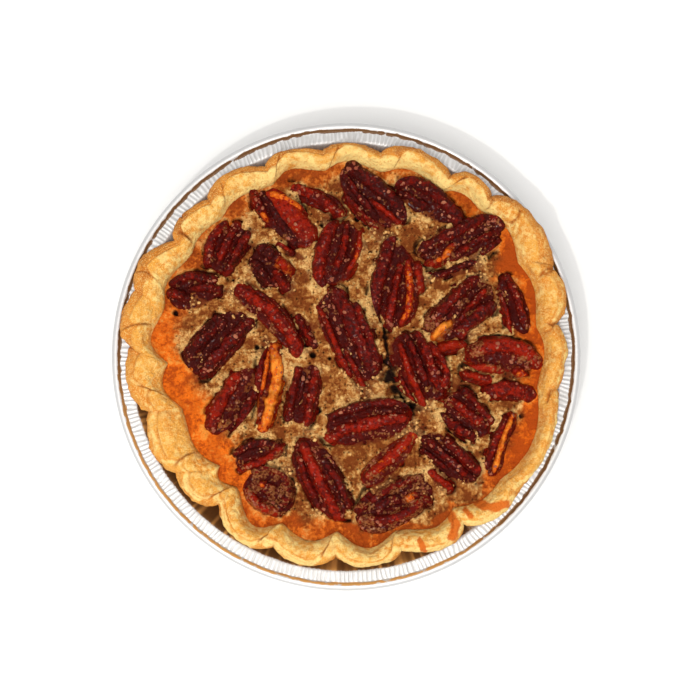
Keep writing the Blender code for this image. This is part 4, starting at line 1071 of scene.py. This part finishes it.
def nut_mesh(number, nut):
    """A nut's corners, faces and masks: a lobed top on a grid, and a shallow keel that lies in the filling."""
    x, y, heading, length, width, bow, sunk, spread = nut
    seed = 100 + 7 * number
    steps = int(length * NUT_STEPS_PER_MM) + 15
    along, side = disc_grid(steps)
    along, side = along * (length / 2 + NUT_MARGIN), side * (width / 2 + NUT_MARGIN) + bow * (0.5 - along**2)
    turn = math.radians(heading)
    points = np.zeros((steps, steps, 3))
    points[..., 0] = x + along * math.cos(turn) - side * math.sin(turn)
    points[..., 1] = y + along * math.sin(turn) + side * math.cos(turn)
    top, tone, _, grain = nut_top(points, number, nut)
    ground = np.array([filling_height(a, b) for a, b in points[..., :2].reshape(-1, 2)]).reshape(steps, steps)
    crosswise = lumps(grain / (0.95, 2.6, 1.0) + (0.4 * lumps(points, 1.6, seed))[..., None], 1.0, seed + 1)
    lengthwise = lumps(grain / (5.0, 0.9, 1.0), 1.0, seed + 2)
    wrinkle = 0.34 * crosswise + 0.24 * lengthwise + 0.42 * lumps(points, 2.8, seed + 3)
    wrinkle += 0.30 * lumps(points, 1.3, seed + 4) + 0.14 * lumps(points, 0.7, seed + 5)
    rise = NUT_RISE[0] + NUT_RISE[1] * width
    high = np.clip(top / rise, 0, 1)
    tone = tone - 0.6 * (tone > 1.2) * (1 - smooth(high, 0.3, 0.8))
    between = smooth(-from_nut(points, nut), 0.4, 2.2)
    # Furrows and the lobes' low sides, weaker towards the outline, are marked to be painted dark: painted shade.
    furrow_shade = (1 - smooth(high, 0.22, 0.80) - 0.5 * crosswise * smooth(high, 0.1, 0.4)) * (0.35 + 0.65 * between)
    crusted = smooth(lumps(points, 2.4, seed + 6) + 0.8 * lumps(points, 0.8, 6) + spread, 0.35, 1.05)
    crusted *= 1 - smooth(high, 0.35 + 0.5 * spread, 0.75 + 0.5 * spread)
    level = ground + top + NUT_LIFT - sunk + wrinkle * smooth(high, 0.05, 0.5)
    knee = NUT_CEILING - NUT_CROWN
    level = np.where(level > knee, knee + NUT_CROWN * (1 - np.exp(-(level - knee) / NUT_CROWN)), level)
    points[..., 2] = level
    middle = np.array((x, y, filling_height(x, y) - NUT_KEEL))
    keel = points.reshape(-1, 3)[grid_rim(steps)] * (0.75, 0.75, 0) + middle * (0.25, 0.25, 1)
    masks = {"tone": tone, "furrow_shade": np.clip(furrow_shade, 0, 1), "crusted": crusted}
    return closed_under(points, keel, middle, masks)


nut_finish = make_nut_skin()
nuts = []
for number, nut in enumerate(NUTS, start=1):
    points, faces, masks = nut_mesh(number, nut)
    pecan = new_piece(f"pecan_half_{number:02d}", points, faces, nut_finish, **masks)
    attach(pecan, "root")
    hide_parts(f"pecan_{number:02d}")
    nuts.append(pecan)

# Sugar specks and crumbs: undissolved sugar that dried on the nuts as small pinkish grains, in clusters, and tan
# crumbs of dried foam that lie loose where the froth has risen highest.

SPECKS_PER_NUT = 84
SPECKED_AREA = 420
SPECK_FLATNESS = 0.24
CRUMBS = 2300
CRUMB_FLATNESS = 0.7
CRUMB_REACH = 62
GRAIN_CEILING = 31.78
DROP_HEIGHT = 40
DOWN = Vector((0, 0, -1))
SPECK_PINK = (0.22, 0.038, 0.020)
SPECK_PALE = (0.40, 0.145, 0.075)
CRUMB_TAN = (0.80, 0.475, 0.165)
CRUMB_BROWN = (0.36, 0.125, 0.032)


def unit_ball():
    """A ball of 42 corners and 80 triangles."""
    golden = (1 + 5**0.5) / 2
    corners = [(-1, golden, 0), (1, golden, 0), (-1, -golden, 0), (1, -golden, 0)]
    corners += [(0, -1, golden), (0, 1, golden), (0, -1, -golden), (0, 1, -golden)]
    corners += [(golden, 0, -1), (golden, 0, 1), (-golden, 0, -1), (-golden, 0, 1)]
    corners = [np.array(c) / np.linalg.norm(c) for c in corners]
    faces = []
    for trio in itertools.combinations(range(12), 3):
        if all(np.linalg.norm(corners[a] - corners[b]) < 1.1 for a, b in itertools.combinations(trio, 2)):
            a, b, c = trio
            outward = np.cross(corners[b] - corners[a], corners[c] - corners[a]) @ corners[a] > 0
            faces.append((a, b, c) if outward else (a, c, b))
    halves = {}
    made = []
    for face in faces:
        mids = []
        for a, b in zip(face, face[1:] + face[:1]):
            key = (min(a, b), max(a, b))
            if key not in halves:
                halves[key] = len(corners)
                middle = corners[a] + corners[b]
                corners.append(middle / np.linalg.norm(middle))
            mids.append(halves[key])
        a, b, c = face
        ab, bc, ca = mids
        made += [(a, ab, ca), (b, bc, ab), (c, ca, bc), (ab, bc, ca)]
    return np.array(corners), np.array(made)


def joined_grains(name, places, normals, sizes, flatness, finish, rng):
    """One mesh of many small uneven grains, each lying on its own spot."""
    corners, triangles = unit_ball()
    points = []
    faces = []
    shade = []
    for index, (place, normal, size) in enumerate(zip(places, normals, sizes)):
        grain = corners * (1 + 0.55 * lumps(corners + index * 3.7, 0.8, 71))[:, None]
        tilt = Vector(normal).to_track_quat("Z", "Y").to_matrix()
        spin = rng.uniform(0, 2 * math.pi)
        flat = grain * size * (1.0, rng.uniform(0.6, 1.0), flatness)
        c, s = math.cos(spin), math.sin(spin)
        flat[:, :2] = np.stack([flat[:, 0] * c - flat[:, 1] * s, flat[:, 0] * s + flat[:, 1] * c], -1)
        points.append(flat @ np.array(tilt).T + place)
        faces.append(triangles + index * len(corners))
        shade.append(np.full(len(corners), rng.uniform(0, 1)))
    points = np.concatenate(points)
    points[:, 2] = np.minimum(points[:, 2], GRAIN_CEILING)
    return new_piece(name, points, np.concatenate(faces).tolist(), finish, shade=np.concatenate(shade))


def grain_finish(name, low, high):
    made, tree, shader = new_finish(name, Roughness=0.55, IOR=1.2)
    patches, fine = mottled(tree, 0.8, 0.2)
    share = mingled(tree, mask_of(tree, "shade"), 0.7, patches, 0.3)
    wire(tree, shader, Base_Color=blend(tree, share, low, high), Normal=bumped(tree, fine, 0.15, 0.6))
    return made


rng = np.random.default_rng(7)
places, normals, sizes = [], [], []
for number, (nut, pecan) in enumerate(zip(NUTS, nuts), start=1):
    tree = BVHTree.FromObject(pecan, bpy.context.evaluated_depsgraph_get())
    x, y, heading, length, width = nut[:5]
    turn = math.radians(heading)
    wanted = int(SPECKS_PER_NUT * length * width / SPECKED_AREA)
    for _ in range(wanted):
        along, side = rng.uniform(-0.97, 0.97), rng.uniform(-0.92, 0.92)
        a, b = along * length / 2, side * width / 2 * math.sqrt(max(0.0, 1 - abs(along) ** NUT_BLUNTNESS))
        spot_x = x + a * math.cos(turn) - b * math.sin(turn)
        spot_y = y + a * math.sin(turn) + b * math.cos(turn)
        spot = Vector((spot_x, spot_y, DROP_HEIGHT)) * MM
        hit, normal, _, _ = tree.ray_cast(spot, DOWN)
        size = 0.18 + 0.72 * rng.uniform(0, 1) ** 2.2
        if rng.uniform() > 0.15 + smooth(lumps(np.array((a, b, number)), 4.0, 72), -0.3, 0.4):
            continue
        if hit is None or normal.z < 0.25 or hit.z / MM < filling_height(*spot.xy / MM) + 0.8:
            continue
        places.append(np.array(hit) / MM)
        normals.append(normal)
        sizes.append(size)
sugar_specks = joined_grains(
    "sugar_specks", places, normals, sizes, SPECK_FLATNESS, grain_finish("dried sugar", SPECK_PINK, SPECK_PALE), rng
)
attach(sugar_specks, "root")

foam_tree = BVHTree.FromObject(custard_filling, bpy.context.evaluated_depsgraph_get())
foam_masks = custard_filling.data.attributes
places, normals, sizes = [], [], []
while len(places) < CRUMBS:
    spot = rng.uniform(-66, 66, 2)
    if np.hypot(*spot) > CRUMB_REACH:
        continue
    hit, normal, face, _ = foam_tree.ray_cast(Vector((*spot, DROP_HEIGHT)) * MM, DOWN)
    if hit is None:
        continue
    corner = custard_filling.data.polygons[face].vertices[0]
    froth, caramel, hole_shade = (foam_masks[name].data[corner].value for name in ("froth", "caramel", "hole_shade"))
    if caramel > 0.3 or hole_shade > 0.3 or rng.uniform() > 1.8 * (froth - 0.35):
        continue
    places.append(np.array(hit) / MM + (0, 0, 0.1))
    normals.append(normal)
    sizes.append(0.18 + 0.50 * rng.uniform() ** 1.8)
foam_crumbs = joined_grains(
    "foam_crumbs", places, normals, sizes, CRUMB_FLATNESS, grain_finish("dried foam", CRUMB_BROWN, CRUMB_TAN), rng
)
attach(foam_crumbs, "root")

# The floor that the pie stands on, a plain pale board, with soft studio light: a white room, a broad lamp high up
# at the front, and a small one beside it for the glints. The camera looks almost straight down.

BOARD_PALE = (0.93, 0.93, 0.93)
BOARD_GREY = (0.90, 0.90, 0.90)
CAMERA_PLACE = (0.001362, -0.037878, 0.523459)
CAMERA_TILT = 4.5
CAMERA_ANGLE = 28.132

floor_mesh = bpy.data.meshes.new("floor")
floor_mesh.from_pydata([(-2, -2, 0), (2, -2, 0), (2, 2, 0), (-2, 2, 0)], [], [(0, 1, 2, 3)])
floor = bpy.data.objects.new("floor", floor_mesh)
bpy.context.scene.collection.objects.link(floor)
board, board_tree, board_shader = new_finish("pale board", Roughness=0.7)
board_grain = mottled(board_tree, 60.0, 2.0)[0]
board_colour = blend(board_tree, board_grain, BOARD_PALE, BOARD_GREY, 0.1)
wire(board_tree, board_shader, Base_Color=board_colour)
floor_mesh.materials.append(board)


def lamp(name, place, size, power, colour):
    light = bpy.data.lights.new(name, "AREA")
    light.shape = "DISK"
    light.size = size
    light.energy = power
    light.color = colour
    holder = bpy.data.objects.new(name, light)
    holder.location = place
    holder.rotation_euler = (-Vector(place)).to_track_quat("-Z", "Y").to_euler()
    bpy.context.scene.collection.objects.link(holder)


lamp("front_lamp", (-0.10, -0.28, 0.88), 0.90, 6.4, (1.0, 0.97, 0.93))
lamp("spark_lamp", (-0.16, -0.34, 0.86), 0.018, 1.7, (1.0, 0.98, 0.95))
room = bpy.data.worlds.new("white room")
bpy.context.scene.world = room
room.use_nodes = True
walls = room.node_tree.nodes["Background"]
walls.inputs["Color"].default_value = (1.0, 0.99, 0.97, 1.0)
walls.inputs["Strength"].default_value = 0.63

camera_data = bpy.data.cameras.new("camera")
camera_data.sensor_fit = "HORIZONTAL"
camera_data.angle = math.radians(CAMERA_ANGLE)
camera = bpy.data.objects.new("camera", camera_data)
camera.location = CAMERA_PLACE
camera.rotation_euler = (math.radians(CAMERA_TILT), 0.0, 0.0)
bpy.context.scene.collection.objects.link(camera)
bpy.context.scene.camera = camera
bpy.context.scene.view_settings.view_transform = "Standard"
